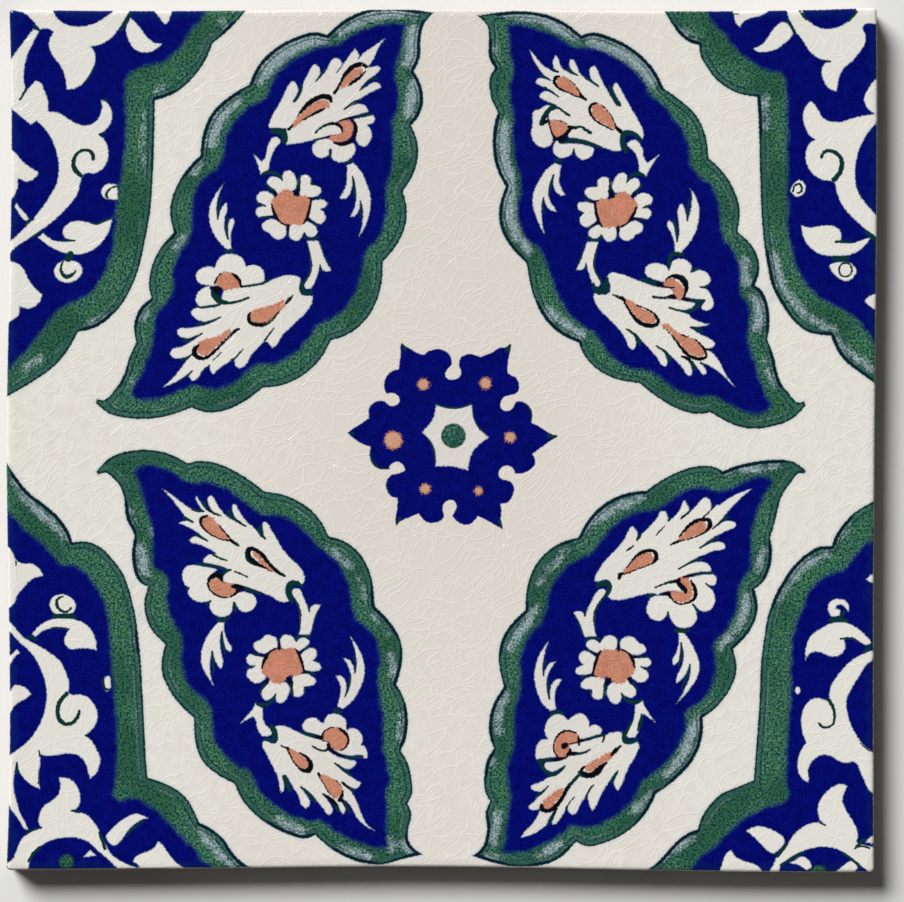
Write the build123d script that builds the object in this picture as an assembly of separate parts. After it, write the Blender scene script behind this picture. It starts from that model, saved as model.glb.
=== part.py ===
from build123d import *
import os

# A hand-finished square wall tile of fired clay with a glazed face, lying on its back.
# Millimetres. +Z is up through the glazed face, +X is to the tile's right and +Y to its top.
# The origin is the middle of the back, under the middle of the tile's box.

# Overall size
tile_width = 200.0  # left to right, between corners
tile_height = 198.8  # bottom to top, between corners, as the mean of the two sides
tile_thickness = 8.0  # back to glazed face

# How far the pressed blank is out of square
side_lean = 0.65  # the top corners stand this far to the right of the bottom ones
height_flare = 0.45  # the right side is taller than the mean by this, and the left shorter

# How far each side wanders from straight at its quarter, middle and three-quarter points.
# Outward is positive. Upright sides read from top to bottom, level ones from left to right.
left_wander = (-0.50, 0.30, -0.55)
right_wander = (0.20, -0.17, -0.23)
top_wander = (-0.35, -0.17, -0.69)
bottom_wander = (-0.55, -1.04, -0.28)

# Edges
corner_radius = 1.0  # the four upright corners
face_arris_radius = 0.7  # where the glaze rolls over the edge of the face
back_bevel = 0.5  # wiped arris round the back


def corner(right, top):
    """A corner of the outline before its edges are rounded; right and top are -1 or 1."""
    x = right * tile_width / 2 + top * side_lean / 2
    y = top * (tile_height + right * height_flare) / 2
    return Vector(x, y)


def wandering_side(start, end, outward, wander):
    """One side of the outline, drawn through its quarter points off the straight line."""
    step = (end - start) / (len(wander) + 1)
    through = [start + step * (i + 1) + outward * off for i, off in enumerate(wander)]
    return Spline(start, *through, end)


def outline_face():
    """The tile's outline on the plane of its back."""
    top_left, top_right = corner(-1, 1), corner(1, 1)
    bottom_left, bottom_right = corner(-1, -1), corner(1, -1)
    sides = [
        wandering_side(top_left, top_right, Vector(0, 1), top_wander),
        wandering_side(top_right, bottom_right, Vector(1, 0), right_wander),
        wandering_side(bottom_left, bottom_right, Vector(0, -1), bottom_wander),
        wandering_side(top_left, bottom_left, Vector(-1, 0), left_wander),
    ]
    return make_face(sides)


def tile_body():
    """The fired blank: one slab with rounded corners, a rolled face edge and a bevelled back."""
    slab = extrude(outline_face(), amount=tile_thickness, dir=(0, 0, 1))
    slab = fillet(slab.edges().filter_by(Axis.Z), corner_radius)
    slab = fillet(slab.faces().sort_by(Axis.Z)[-1].edges(), face_arris_radius)
    slab = chamfer(slab.faces().sort_by(Axis.Z)[0].edges(), back_bevel)
    middle = slab.bounding_box().center()
    return Pos(-middle.X, -middle.Y, 0) * slab


os.makedirs("parts", exist_ok=True)
tile = tile_body()
export_step(tile, "parts/tile.step")
print("tile", tile.bounding_box().size, "volume", round(tile.volume))
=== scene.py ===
import math

import bpy
import numpy as np
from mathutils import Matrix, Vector
from mathutils.bvhtree import BVHTree
from mathutils.geometry import delaunay_2d_cdt


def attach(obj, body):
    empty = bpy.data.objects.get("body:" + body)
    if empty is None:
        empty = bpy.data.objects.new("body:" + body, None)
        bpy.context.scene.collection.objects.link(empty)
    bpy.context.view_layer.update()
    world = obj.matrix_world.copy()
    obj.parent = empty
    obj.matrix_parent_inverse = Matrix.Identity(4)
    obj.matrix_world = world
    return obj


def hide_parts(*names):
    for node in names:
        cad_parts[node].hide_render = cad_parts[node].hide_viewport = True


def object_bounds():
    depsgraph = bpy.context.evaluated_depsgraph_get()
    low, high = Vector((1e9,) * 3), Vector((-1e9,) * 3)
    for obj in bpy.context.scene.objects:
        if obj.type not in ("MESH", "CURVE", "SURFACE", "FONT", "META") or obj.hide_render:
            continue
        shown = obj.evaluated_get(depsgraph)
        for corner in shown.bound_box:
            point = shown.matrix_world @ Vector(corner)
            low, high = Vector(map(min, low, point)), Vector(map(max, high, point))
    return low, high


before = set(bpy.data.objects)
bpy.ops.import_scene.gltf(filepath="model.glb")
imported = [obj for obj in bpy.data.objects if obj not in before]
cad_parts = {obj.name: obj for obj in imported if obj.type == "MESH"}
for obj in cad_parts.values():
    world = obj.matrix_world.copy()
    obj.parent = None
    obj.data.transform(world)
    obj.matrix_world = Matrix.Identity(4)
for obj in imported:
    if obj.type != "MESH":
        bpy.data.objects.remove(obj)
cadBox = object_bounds()
mm = 0.001
scene = bpy.context.scene
scene.view_settings.view_transform = "Standard"
topZ = cadBox[1].z / mm

# camera straight above, long lens
shot = dict(lens=200, sensor=36, acrossMm=208.25, overX=2.34, overY=-2.54)
cameraData = bpy.data.cameras.new("shotCamera")
cameraData.lens = shot["lens"]
cameraData.sensor_width = shot["sensor"]
camera = bpy.data.objects.new("shotCamera", cameraData)
scene.collection.objects.link(camera)
cameraHeight = shot["acrossMm"] * shot["lens"] / shot["sensor"]
camera.location = (shot["overX"] * mm, shot["overY"] * mm, (topZ + cameraHeight) * mm)
scene.camera = camera
print("camera set", round(cameraHeight), "mm above the face")

# quadrant millimetres: u outwards from the upright centre line, v outwards from the level one
# a third value of 1 marks a sharp corner; everything else is a smooth curve through the points
leafArt = dict(
    band=[
        (4, 97.9, 1), (8.5, 98.6), (14, 99.2), (20, 98.4), (24.7, 96.2), (28.6, 92.8, 1), (31.2, 93.4),
        (36, 92.2), (41, 89.4), (44.9, 85.2), (46.6, 81.3, 1), (50.4, 79.1), (55.1, 74.9), (57.4, 69.6),
        (57.9, 64.9, 1), (60.6, 62.2), (63.4, 57.8), (64.9, 52.6), (64, 47.1, 1), (67.2, 43.4), (69.3, 38.7),
        (69.8, 35.2), (69.2, 31.9, 1), (71.5, 30.1), (73, 27), (73.2, 24.4), (72.7, 21.8, 1), (74.2, 18.6),
        (75.5, 14.6), (77.6, 10.9), (80.6, 8.4), (81.7, 8.7, 1), (82.1, 7.8, 1), (79.3, 5.5), (73.5, 4.1),
        (66, 4.6), (59.9, 6.7, 1), (57.8, 5.8), (54, 5.6), (48.5, 7.6), (43.4, 11.3, 1), (40, 11.6),
        (34.5, 13.9), (30, 18.1), (27.7, 22.2, 1), (23.9, 23.5), (19.3, 27.4), (16.5, 33.2), (15.7, 40.4, 1),
        (13, 43.6), (10.8, 47.7), (10.2, 52.4), (11.1, 56.7, 1), (9, 59.9), (7.6, 64.8), (8, 69),
        (9.2, 71.8, 1), (7.3, 74.2), (6.4, 77.8), (7, 81.4), (8.6, 84.4, 1), (7.2, 87.4), (7, 91.5),
        (6.2, 95.2)],
    field=[
        (10.2, 95.3, 1), (14, 95.5), (18.4, 94.4), (23.6, 92.3), (26.6, 90.3), (29.3, 90.1), (34.6, 88.2),
        (38.9, 85), (41.4, 81.8), (42.8, 78.2), (45.8, 76.6), (49.6, 73.1), (52.2, 69), (52.7, 64.4),
        (54.2, 61.9), (57.7, 59), (59.6, 54.8), (60.1, 50), (60.2, 46), (62.3, 43), (64.2, 38.3), (64.4, 33),
        (66, 30.5), (67.9, 28.6), (68.5, 25.5), (68.9, 21.4), (70.4, 17.1), (72.4, 12.7), (73.7, 10.5),
        (73, 9.1), (70.5, 8.4), (65.7, 9.4), (60.5, 11.3), (58.8, 11.8), (55.5, 10.9), (51.6, 11.7),
        (47.5, 14.6), (44.6, 16.7), (41, 16.7), (37.6, 18.2), (33.4, 22.2), (30.6, 25.8), (28, 27),
        (24.2, 30), (21.6, 34.8), (20.4, 39.8), (19.6, 42.7), (16.8, 45.9), (15.2, 50.2), (15.1, 56.6),
        (13.7, 62.8), (13.4, 70), (13.5, 72.4), (12.4, 75.6), (12.2, 79.5), (13, 83.2), (12.3, 87.2),
        (11.3, 91.6), (11, 93.7)],
    whites=dict(
        upperStem=[
            (39.3, 68.5), (40.3, 69.2), (41.2, 69.1), (42.2, 67.5), (43.1, 64.2), (43.7, 63.5, 1),
            (44.5, 64.2), (45.7, 65.4, 1), (44.9, 63.5), (44.3, 61.8), (44, 60.4, 1), (42.1, 61.7, 1),
            (41.8, 63.4), (40.7, 66.4)],
        innerFeather=[
            (22.6, 63.2, 1), (24.1, 62.6, 1), (24.05, 60.1), (24.3, 57.8), (25.8, 55.1, 1), (24.6, 54.8),
            (23.3, 56.1), (22.8, 58.2), (22.8, 60.2, 1), (22.1, 57.6), (22, 54.4), (22.4, 52.6),
            (23.3, 50.7, 1), (22, 51.1), (21.2, 52.6), (21, 54.4, 1), (20.4, 52.4), (20.5, 49.1),
            (21.3, 46.1, 1), (19.8, 48.6), (18.7, 52.3), (18.7, 56.1), (19.7, 59), (21, 61.6)],
        petalOne=[
            (34.7, 55.3, 1), (34.7, 60.1), (34, 60.5), (32.8, 60.15), (32.2, 59.2), (32.4, 58.2, 1),
            (31.1, 58), (30.1, 57.5), (29.9, 56.7), (30.6, 55.8), (32.6, 55.1)],
        petalTwo=[
            (36.3, 56.9), (35.6, 58.1), (35.9, 59.9), (36.7, 61.2), (37.7, 61.5), (38.6, 61.1), (39, 60.1),
            (38.9, 59, 1), (39.9, 59.8), (41.1, 60.15), (42.2, 59.6), (42.5, 58.6), (41.9, 57.7),
            (40.5, 56.8), (39.9, 55.8, 1), (38, 56.4)],
        petalThree=[
            (40.7, 55.3), (41.6, 56.2), (42.9, 56.7), (44.4, 56.2), (45, 55.3), (44.6, 54.3),
            (42.8, 53.1, 1), (44.2, 53.1), (45, 52.4), (45.1, 51.4), (44.4, 50.7), (42.7, 50.8), (41, 51, 1),
            (41, 53)],
        petalFour=[
            (40.1, 49.9), (41.2, 50.3), (42.7, 49.9), (43.6, 49), (43.6, 48.1), (42.7, 47.3), (41.9, 47, 1),
            (41.4, 46.3), (40.2, 45.5), (39, 45.7), (38.2, 46.4), (38, 47.6), (38.3, 49.2, 1)],
        petalFive=[
            (32.9, 49.6), (35, 49.4), (36.9, 49.1, 1), (37.3, 48.3), (37.3, 46.1), (36.2, 45.2), (35, 45.4),
            (34.3, 46.4), (33.8, 47.1, 1), (33.2, 46.3), (32.1, 46), (31.1, 46.6), (30.8, 47.4),
            (31.2, 48.4)],
        petalSix=[
            (32.3, 54.3), (30.9, 54.75), (29.4, 54.6), (28.5, 54), (28.6, 53.4), (30.1, 52.5, 1),
            (29.3, 51.7), (28.95, 50.6), (29.5, 49.4), (30.6, 49.1), (31.7, 49.7), (32.9, 50.7, 1),
            (32.7, 52.4)],
        lowerStem=[
            (30.6, 45.2, 1), (33.3, 45.2, 1), (32.6, 41.8), (32.4, 39), (33.4, 36.1), (34, 34.8),
            (33.4, 34.1), (32.5, 34.2), (31.1, 36.6), (30.2, 39.5, 1), (29.6, 38.4), (27.5, 38.3, 1),
            (28.8, 40.4), (30, 43.4)],
        outerFeather=[
            (52.4, 58.5, 1), (53.4, 57.3), (54.7, 55.4), (55.7, 53.2), (55.9, 51), (55.2, 47.6),
            (53.9, 45.4), (51.8, 43.2, 1), (50.6, 43.4, 1), (50.9, 45.7), (50.6, 47.9), (50, 49.6),
            (50.4, 50.5), (51.2, 49.9), (51.5, 48), (51.4, 45.5, 1), (52.2, 47.3), (52.3, 50.2),
            (51.7, 53.2), (51.9, 54), (52.8, 53.1), (53.5, 51.6), (53.8, 50.1, 1), (54.2, 52.4),
            (53.9, 54.9)],
    ),
    salmon=dict(
        heart=[
            (32.9, 55), (34.2, 55.5), (35.5, 55, 1), (36.8, 56.4), (37.9, 56.9), (39.1, 56.7), (40, 55.5),
            (41.2, 54.6), (41.4, 53.2), (40.6, 51.95), (40.1, 50.9), (39.3, 49.7), (37.8, 49), (36.4, 49.2),
            (35.4, 48.8), (34.2, 49.3), (33.6, 50.5), (33.4, 51.9), (32.9, 53.2)],
    ),
    # brushed lines: u, v and width
    lines=[
        [(22.7, 60, .4), (22.4, 58.3, .6), (22.2, 56.3, .6), (22, 54.6, .4)],
        [(20.9, 54.4, .3), (20.6, 52.5, .5), (20.9, 50.6, .4)],
        [(38.9, 59.2, .4), (39.9, 60.5, .7), (41.4, 61, .9), (43.2, 60.8, .8), (43.9, 60.3, .4)],
        [(34.9, 60, .5), (35.1, 58.4, .7), (35.3, 56.8, 1), (36, 56, 1)],
        [(42.8, 58.3, .5), (41.6, 57.2, .7), (40.4, 55.9, .6)],
        [(29.9, 55.4, .4), (31.5, 54.95, .5), (33, 55.2, .4)],
        [(32.3, 54.6, .5), (32.6, 52.8, .7), (33.1, 51, .7), (34, 49.2, .5)],
        [(41.4, 53.6, .4), (41, 52, .8), (40.4, 50.9, .7), (39.8, 49.8, .5), (38.4, 48.9, .5)],
        [(40.8, 50.8, .5), (42.4, 50.8, .5), (44, 50.5, .5)],
        [(37.7, 49, .6), (37.6, 47.6, .5), (37.7, 46.2, .4)],
        [(32.8, 50.2, .5), (31.9, 49.3, .5), (30.8, 48.7, .4)],
        [(32.3, 59.4, .3), (32.3, 58.3, .4), (31.3, 58.2, .3)],
        [(42.8, 53.2, .3), (43.8, 53.7, .5), (44.8, 53.8, .4)], [(29.2, 52.7, .4), (30, 52.5, .3)],
        [(33.9, 47, .4), (34.1, 46.2, .5), (33.2, 45.7, .5), (31.6, 45.7, .5), (30.6, 46.1, .4)],
        [(33.2, 44.6, .3), (32.5, 41.8, .4), (32.2, 39.5, .5), (32.7, 37.4, .5), (33.9, 35.6, .6),
         (34.4, 34.2, .8), (34, 33.1, .9), (32.8, 32.9, .7), (32.2, 33.6, .4)],
        [(29.9, 44.2, .3), (28.9, 41, .3), (28, 39.4, .3)], [(30.2, 39.6, .4), (30.3, 38.2, .5)],
        [(53.2, 55.2, .4), (53.5, 53.5, .6), (53.8, 51.6, .6), (53.9, 50.2, .4)],
        [(51.5, 50.6, .4), (51.8, 49, .6), (51.8, 47.2, .6), (51.5, 45.6, .4)],
        [(50.2, 43, .5), (51.2, 42.7, .6), (52.3, 42.8, .5)]],
)

# where the other three leaves differ from the first:
# its point, then the same point top right, bottom left and bottom right
leafShifts = [
    (4, 97.9, 6.1, 97.2, 6.5, 96.6, 4.9, 96.9), (14, 99.2, 15.8, 98.3, 16.1, 98.9, 16.9, 99.3),
    (28.6, 92.8, 30.1, 92.7, 31.3, 92.1, 28.9, 93.6), (46.6, 81.3, 49.1, 80.4, 50, 80.2, 47.4, 82.5),
    (57.9, 64.9, 59.5, 64.3, 59.4, 65, 58.1, 65), (64, 47.1, 66.2, 47.3, 66, 47.9, 65.2, 49.1),
    (69.2, 31.9, 70.2, 34.9, 70, 34.7, 70.1, 35.2), (72.7, 21.8, 73.1, 22.2, 73.1, 22.7, 73.8, 23.3),
    (82.1, 7.8, 81.9, 7.1, 81.9, 8, 81.9, 7.8), (59.9, 6.7, 59.9, 5.6, 60.8, 6.2, 62.8, 8),
    (43.4, 11.3, 43.5, 12.3, 43.1, 12.7, 45.1, 12.5), (27.7, 22.2, 29.4, 21.7, 28.3, 23, 29.4, 23.3),
    (15.7, 40.4, 17.4, 40.1, 17.6, 39.2, 17.1, 40.1), (10.2, 52.4, 11.1, 52.8, 11.2, 51.6, 11, 51.9),
    (11.1, 56.7, 12.6, 57.8, 12.6, 57.3, 12.2, 57.8), (7.6, 64.8, 9.7, 66, 9.9, 65.5, 8.8, 65.4),
    (9.2, 71.8, 10.8, 74.9, 11.6, 72.6, 9.9, 72), (6.4, 77.8, 8.9, 80.5, 9.1, 79.4, 7.7, 78.6),
    (8.6, 84.4, 10.1, 85, 10.1, 84.7, 9, 84.3), (7, 91.5, 8.7, 91.5, 9.8, 90.6, 8.3, 90.6),
    (22.6, 63.2, 24, 63.2, 25, 62.9, 22.9, 63.4), (25.8, 55.1, 26.4, 55.8, 26.6, 55.4, 25.6, 56.2),
    (23.3, 50.7, 24.6, 52, 25, 51.2, 24.2, 52), (21.3, 46.1, 21.6, 46.7, 23.3, 46.1, 22.6, 47.1),
    (18.7, 54, 18.9, 54.5, 20.1, 54, 19.4, 54.5), (37.1, 52.7, 38.3, 52.2, 39, 52.7, 38.1, 52.9),
    (37.7, 61.5, 39.7, 61, 39.4, 61.6, 38.1, 61.8), (45.1, 54, 46.8, 53.6, 47.6, 53.6, 46, 54.2),
    (28.7, 51.8, 29.3, 51, 30.6, 51, 29.2, 52), (45.7, 65.4, 48.2, 65.2, 48.9, 66.4, 47.3, 66.1),
    (44, 60.4, 45, 60, 45.1, 61.6, 44.2, 60.9), (40.3, 69.2, 41.7, 68.4, 42.2, 69.2, 41.2, 69.6),
    (52.4, 58.5, 55.2, 57.3, 54.9, 57.5, 52, 61.8), (51.2, 43.3, 52.4, 42.6, 53, 42.9, 53.1, 45.2),
    (50.4, 50.5, 50.2, 49.9, 50.9, 49.8, 51.3, 52.8), (51.9, 54, 53.1, 54, 53.1, 53.7, 52, 57),
    (55.9, 51, 57.3, 50.8, 57.8, 50.6, 57.5, 53.4), (27.5, 38.3, 28.9, 38.5, 30, 38.8, 28.2, 40.6),
    (32, 45.2, 32.9, 45, 33.8, 45.8, 32.2, 46.2), (33.4, 34.1, 34.1, 34.7, 36.2, 35.1, 35.3, 35.1),
    (10.2, 95.3, 12.7, 95.1, 14.3, 94.6, 11.6, 95.9), (73.7, 10.5, 73.9, 7, 73, 8.1, 74.1, 10.4),
    (26.6, 90.3, 28.9, 89.8, 30.4, 88.7, 28, 89.9), (42.8, 78.2, 46.2, 78.9, 46.4, 77.5, 44.2, 79.6),
    (52.7, 64.4, 55.4, 62.7, 55.2, 64.1, 54.3, 64.1), (60.2, 46, 62.8, 46.2, 62.1, 45.7, 60.5, 48),
    (64.4, 33, 66.8, 33.1, 65.3, 32.7, 66.8, 34.5), (68.9, 21.4, 68.6, 22.6, 69.1, 21.2, 69.3, 22.2),
    (58.8, 11.8, 60.3, 9.4, 59.9, 10.7, 61.4, 12.7), (44.6, 16.7, 45.5, 15.2, 43.9, 18, 47.3, 17),
    (30.6, 25.8, 33.2, 23.7, 30.3, 25.6, 32, 27.3), (13.4, 70, 14.3, 69.7, 15.6, 70, 14.6, 69),
    (15.1, 56.6, 16.2, 57.7, 16.9, 56.9, 16.1, 57.3), (12.2, 79.5, 13.6, 81, 14.2, 79.5, 13.1, 79.3),
    (20.4, 39.8, 22.2, 40, 22.7, 39, 21.9, 40), (77.6, 10.9, 77.7, 10.6, 77.3, 10.5, 78.4, 10.9),
    (74.2, 18.6, 74.5, 18.8, 75, 19, 75.1, 18.5), (73.5, 4.1, 73.5, 2.2, 73.5, 3.2, 73.5, 5.4),
    (66, 4.6, 66, 2.4, 66, 3.7, 66, 6.7), (73, 9.1, 73.2, 6, 72.4, 7.4, 73.3, 9.6),
    (65.7, 9.4, 65.7, 6.7, 65.7, 7.7, 66, 11.3),
]

# each leaf's two blossoms were brushed freely, so every pair is drawn by itself
blossomTopLeft = dict(
    whites=dict(
        upperBlossom=[
            (42.1, 71.4), (41.7, 73.1), (39.2, 77.7), (37.3, 81.4), (36.6, 82.1), (35.7, 81.4), (35.3, 80.1),
            (35.8, 78.6), (36.5, 77.4, 1), (36, 77.2, 1), (34.9, 78.9), (34.2, 81.4), (32.9, 84.1),
            (32.3, 85.3), (31.5, 86), (30.5, 85.4), (30.2, 84.2), (31.4, 81.9, 1), (29, 84.3), (27.7, 86.7),
            (27.1, 87.4), (26, 87.3), (25.2, 86.6), (26.3, 84.2, 1), (24.8, 86.1), (23.4, 88.1),
            (22.2, 89.6, 1), (21.3, 88.3), (21.4, 87, 1), (20.4, 88.4), (18.6, 89.7), (15.1, 92, 1),
            (16.5, 90.2), (17.5, 88.1), (18.4, 86.3), (19.5, 85.3, 1), (18.1, 85.4), (17, 85.7), (16.3, 85),
            (16.9, 84.1), (19.3, 82.2), (21, 80, 1), (19.3, 81), (18, 81.8), (17, 81.8), (16.1, 80.6, 1),
            (19.6, 78.9), (22.2, 77.1), (24.6, 75.5, 1), (22.5, 76.6), (20.8, 76.8), (19.5, 76.1),
            (19.1, 75), (20.2, 74.7), (22.5, 74), (25.8, 73, 1), (25, 71.2), (25.2, 70.1), (28, 69.5),
            (31.7, 68.5), (35.6, 67.7), (38.1, 67.4, 1), (38.2, 69), (38, 71.1, 1), (40.5, 71.3)],
        upperBudOuter=[
            (18, 74.3, 1), (17.6, 73.1), (18.2, 72.3), (19.4, 72), (18.6, 71), (18.3, 69.4), (18.9, 67.9),
            (20.2, 66.9), (21.3, 67.4), (22, 69), (22, 71), (22.6, 73.3, 1), (21, 73.6)],
        upperBudLower=[
            (22.5, 67.9, 1), (22, 66.2), (22.8, 64.7), (24, 63.6), (25.6, 63.3), (27.2, 63.9),
            (27.8, 65.2, 1), (28.5, 64.8), (30.1, 64.3), (31.5, 65), (32.1, 66.3), (31.7, 67.6),
            (30.6, 68.6), (29.1, 68.9), (27.6, 68.6, 1), (25.3, 67.4)],
        lowerBud=[
            (43.2, 36), (43.1, 37.5), (43.8, 39), (45.2, 39.6), (47.4, 39.3, 1), (47.7, 40.4), (48.8, 41.7),
            (50.7, 42.2), (52.7, 41.9), (53.9, 40.7), (54.5, 39, 1), (55.9, 39.3), (57.7, 38.8),
            (58.8, 37.8), (58.9, 36.6), (58.2, 35.4), (56.3, 34.95), (52, 34.4), (48.4, 34.8), (45.6, 35.2)],
        lowerBudPetal=[
            (55.8, 34.8, 1), (57.6, 34.1), (58.8, 32.6), (58.9, 31), (58.2, 30.1), (56, 30.3),
            (53.6, 30.6, 1), (54.6, 31.8)],
        lowerBlossom=[
            (34.8, 36.5), (35.8, 37.1), (37.5, 37.3), (39.6, 36.9), (43.2, 35.5), (48, 34.6), (52.4, 33.9),
            (53, 31.8), (53.6, 30.3), (56.2, 29.75), (59.6, 29.4), (60.1, 28.6), (59, 27.3), (57.6, 26.6),
            (55.8, 26.7), (53.2, 27.6, 1), (56, 26), (60.2, 25.1), (63.2, 24.6), (63.1, 23.5), (61.3, 22.7),
            (57.6, 23.7, 1), (60, 22), (62.4, 20.7), (64.3, 20.2), (64.9, 19.2), (64.2, 18.2), (62.4, 18.1),
            (60.1, 18.9, 1), (62.1, 16.2), (63.6, 14.2), (66.6, 11.4, 1), (63.3, 12.7), (59.7, 15.2, 1),
            (60.5, 13.9), (59.8, 12.9), (58.7, 13.3), (57.2, 15.3), (55.7, 16.5, 1), (55.7, 15.4),
            (54.9, 14.3, 1), (53.4, 15.8), (50.5, 17.7), (49.9, 18.1, 1), (50, 17.1), (49.6, 16.1),
            (48.7, 15.75), (47.7, 16.3), (46.1, 18.8), (43.2, 21.9, 1), (42.9, 21.9), (41.3, 20.4, 1),
            (40.4, 21), (38.9, 23.4), (35.9, 26.3), (32.6, 29.9), (32, 31.2), (32, 32.5, 1), (34.5, 32.7, 1),
            (35, 34.6)],
    ),
    salmon=dict(
        upperDropOne=[
            (20.4, 84.4), (20.9, 85.1), (21.8, 85.1), (23, 84.3), (24.2, 83.3), (25, 82), (25.8, 80.8, 1),
            (25.2, 80.6), (24, 81.3), (22.8, 82.3), (21.4, 83.4)],
        upperDropTwo=[
            (28.2, 76.4), (28.6, 77.3), (29.8, 77.7), (31.3, 77.1), (33, 75.9), (34.6, 74.4), (36, 72.8),
            (36.8, 71.6, 1), (35.8, 71.9), (34.4, 73), (32.4, 74.4), (30.2, 75.5)],
        upperBudHeart=[
            (22.9, 72.3), (23.8, 73), (25.2, 73), (26.1, 72.6, 1), (25, 71.4), (24.8, 70.5), (25.6, 69.8),
            (28, 69.5, 1), (28, 68.7), (26.6, 68.2), (24.7, 68.3), (23.4, 69.2), (22.8, 70.7)],
        lowerBudHeart=[
            (48.8, 34.8), (49.3, 36.4), (50.6, 37.6), (52, 37.9), (53.4, 37.1), (54.1, 35.8), (53.6, 34.6),
            (52.4, 33.9), (50.8, 34.2)],
        lowerDropOne=[
            (38.2, 30.8), (38.8, 31.4), (40.6, 30.4), (42.4, 29.9), (44.6, 29.4), (46.2, 28.5), (46.4, 27.4),
            (45.5, 26.6), (43.8, 26.1), (42.1, 26.6), (40.6, 27.7), (39.1, 29.5)],
        lowerDropTwo=[
            (50.7, 24.4), (51.8, 24.4), (53.4, 23.1), (55, 22.7), (56.8, 22.3), (58.4, 21.3), (58.7, 20.2),
            (57.8, 18.9), (56.6, 18.8), (55.2, 19.9), (53.4, 21.6), (51.8, 23.1)],
    ),
    lines=[
        [(34.5, 81.2, .6), (34.8, 79.6, .7), (35.5, 78.4, .7), (36.3, 77.4, .6)],
        [(29, 84.9, .5), (29.8, 83.8, .5), (30.6, 82.8, .4), (31.3, 81.9, .3)],
        [(25.4, 85.2, .35), (26.4, 84.1, .3)],
        [(17.2, 82.7, .6), (18.7, 82.5, .5), (19.8, 81.5, .45), (21, 80, .4)],
        [(21, 77.7, .6), (22.6, 77.2, .5), (23.6, 76.4, .5), (24.7, 75.6, .5)],
        [(18.2, 74.4, .6), (20.2, 74.3, .5), (22.5, 73.8, .5), (24.8, 73.2, .5), (25.9, 72.8, .4)],
        [(25.1, 70.3, .4), (25.3, 71.3, .7), (26.2, 72.1, .9), (27.5, 72.3, .8), (29.2, 71.8, .7),
         (30.5, 71, .6), (31.3, 70.1, .5)],
        [(27.9, 69.4, .4), (29.5, 68.9, .5), (31.6, 68.5, .6)],
        [(41.7, 70.4, .7), (40.6, 70.6, 1.2), (39.3, 70.4, 1.6), (38.5, 69.6, 1.7), (38.3, 68.6, 1.4),
         (38.4, 67.8, .8)],
        [(32.2, 33.5, .7), (33.1, 33.2, 1.1), (34.1, 33.3, 1.3), (34.6, 34.2, 1.2), (34.3, 35.4, .8)],
        [(22.9, 73.2, .5), (22.2, 72.2, .9), (22, 70.6, 1), (22.6, 68.9, .9), (24, 67.8, 1.1),
         (25.6, 67.5, 1), (27, 67.9, .5)],
        [(27.8, 66.2, .7), (27.9, 65.3, .8), (28, 64.6, .3)],
        [(22.6, 63.9, .4), (23.8, 63.4, .5), (24.8, 63.2, .4)],
        [(19.5, 85.4, .7), (20.5, 86, 1), (22, 85.7, 1.2), (23.5, 84.7, 1.2), (24.7, 83.3, .9),
         (25.6, 81.5, .6), (26.9, 79.3, .9)],
        [(19.8, 84.4, .5), (21.1, 83, .9), (22.5, 81.9, .9), (23.6, 81.1, .5)],
        [(27.7, 77.4, .8), (28.1, 78.3, 1.3), (29.4, 78.6, 1.2), (31, 78.1, 1.2), (32.6, 77.1, 1.2),
         (34.1, 75.7, .9), (35.4, 74, .4)],
        [(36.6, 71.9, .5), (37.4, 71, .9)],
        [(29.1, 75.8, .4), (30.2, 75.2, .8), (31.6, 74.6, .8), (33.2, 73.7, .6), (34.2, 73.1, .4)],
        [(42.2, 36, .7), (43.2, 35.4, .6), (45, 35, .5), (47, 34.7, .5), (48.5, 34.5, .5)],
        [(48.5, 34.9, .6), (48.9, 36.2, .9), (49.8, 37.1, .9), (50.5, 37.7, .4)],
        [(52.4, 38, .3), (53.8, 37, .4), (54.5, 35.4, .6)],
        [(53.2, 34, .9), (54.3, 34.1, 1.6), (54.6, 33.1, 1.8), (54, 31.8, 1.7), (52.6, 31, 1.1),
         (50.6, 30.9, .7), (48.6, 31.4, .6), (46.7, 32.1, .6)],
        [(53.4, 30.4, .5), (55.5, 30.1, .4), (58, 29.8, .5), (58.9, 30.2, .3)],
        [(53.1, 27.6, .4), (54.8, 26.9, .5), (56.5, 26.2, .5), (58.6, 26, .6)],
        [(57.4, 23.8, .4), (59, 23.1, .5), (60.5, 22.4, .6), (62, 22, .6)],
        [(60, 18.8, .5), (61, 18, .5), (62.4, 17.8, .5)],
        [(59.7, 15.2, .4), (61.2, 13.9, .4), (63, 12.8, .3)],
        [(55.7, 16.5, .3), (56.9, 15.6, .4), (57.8, 14.6, .3)],
        [(48, 20.2, .4), (48.9, 19.2, .5), (49.8, 18.2, .5), (51, 17.6, .3)],
        [(40.9, 25, .4), (42, 23.6, .5), (43.1, 22.1, .5)], [(53, 19.4, .3), (54, 18.5, .4), (55, 17.6, .3)],
        [(46.3, 28.7, .4), (46.8, 27.6, .9), (46.5, 26.5, 1), (45.2, 25.9, 1), (43.4, 25.8, 1),
         (42, 26.4, .8), (40.8, 27.6, .6), (39.6, 29, .4)],
        [(36.5, 32.6, .4), (37.4, 31.6, 1), (38.1, 30.9, .7)],
        [(58.3, 21.1, .6), (59.2, 20.2, 1.2), (59.3, 19.2, 1.3), (58.4, 18.3, 1.1), (57.2, 18, .9),
         (56, 18.5, .8), (54.6, 19.7, .8), (52.9, 21.4, .7), (51.2, 23.1, .6), (50, 24.3, .9),
         (48.9, 24.9, .5)]],
)

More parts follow.
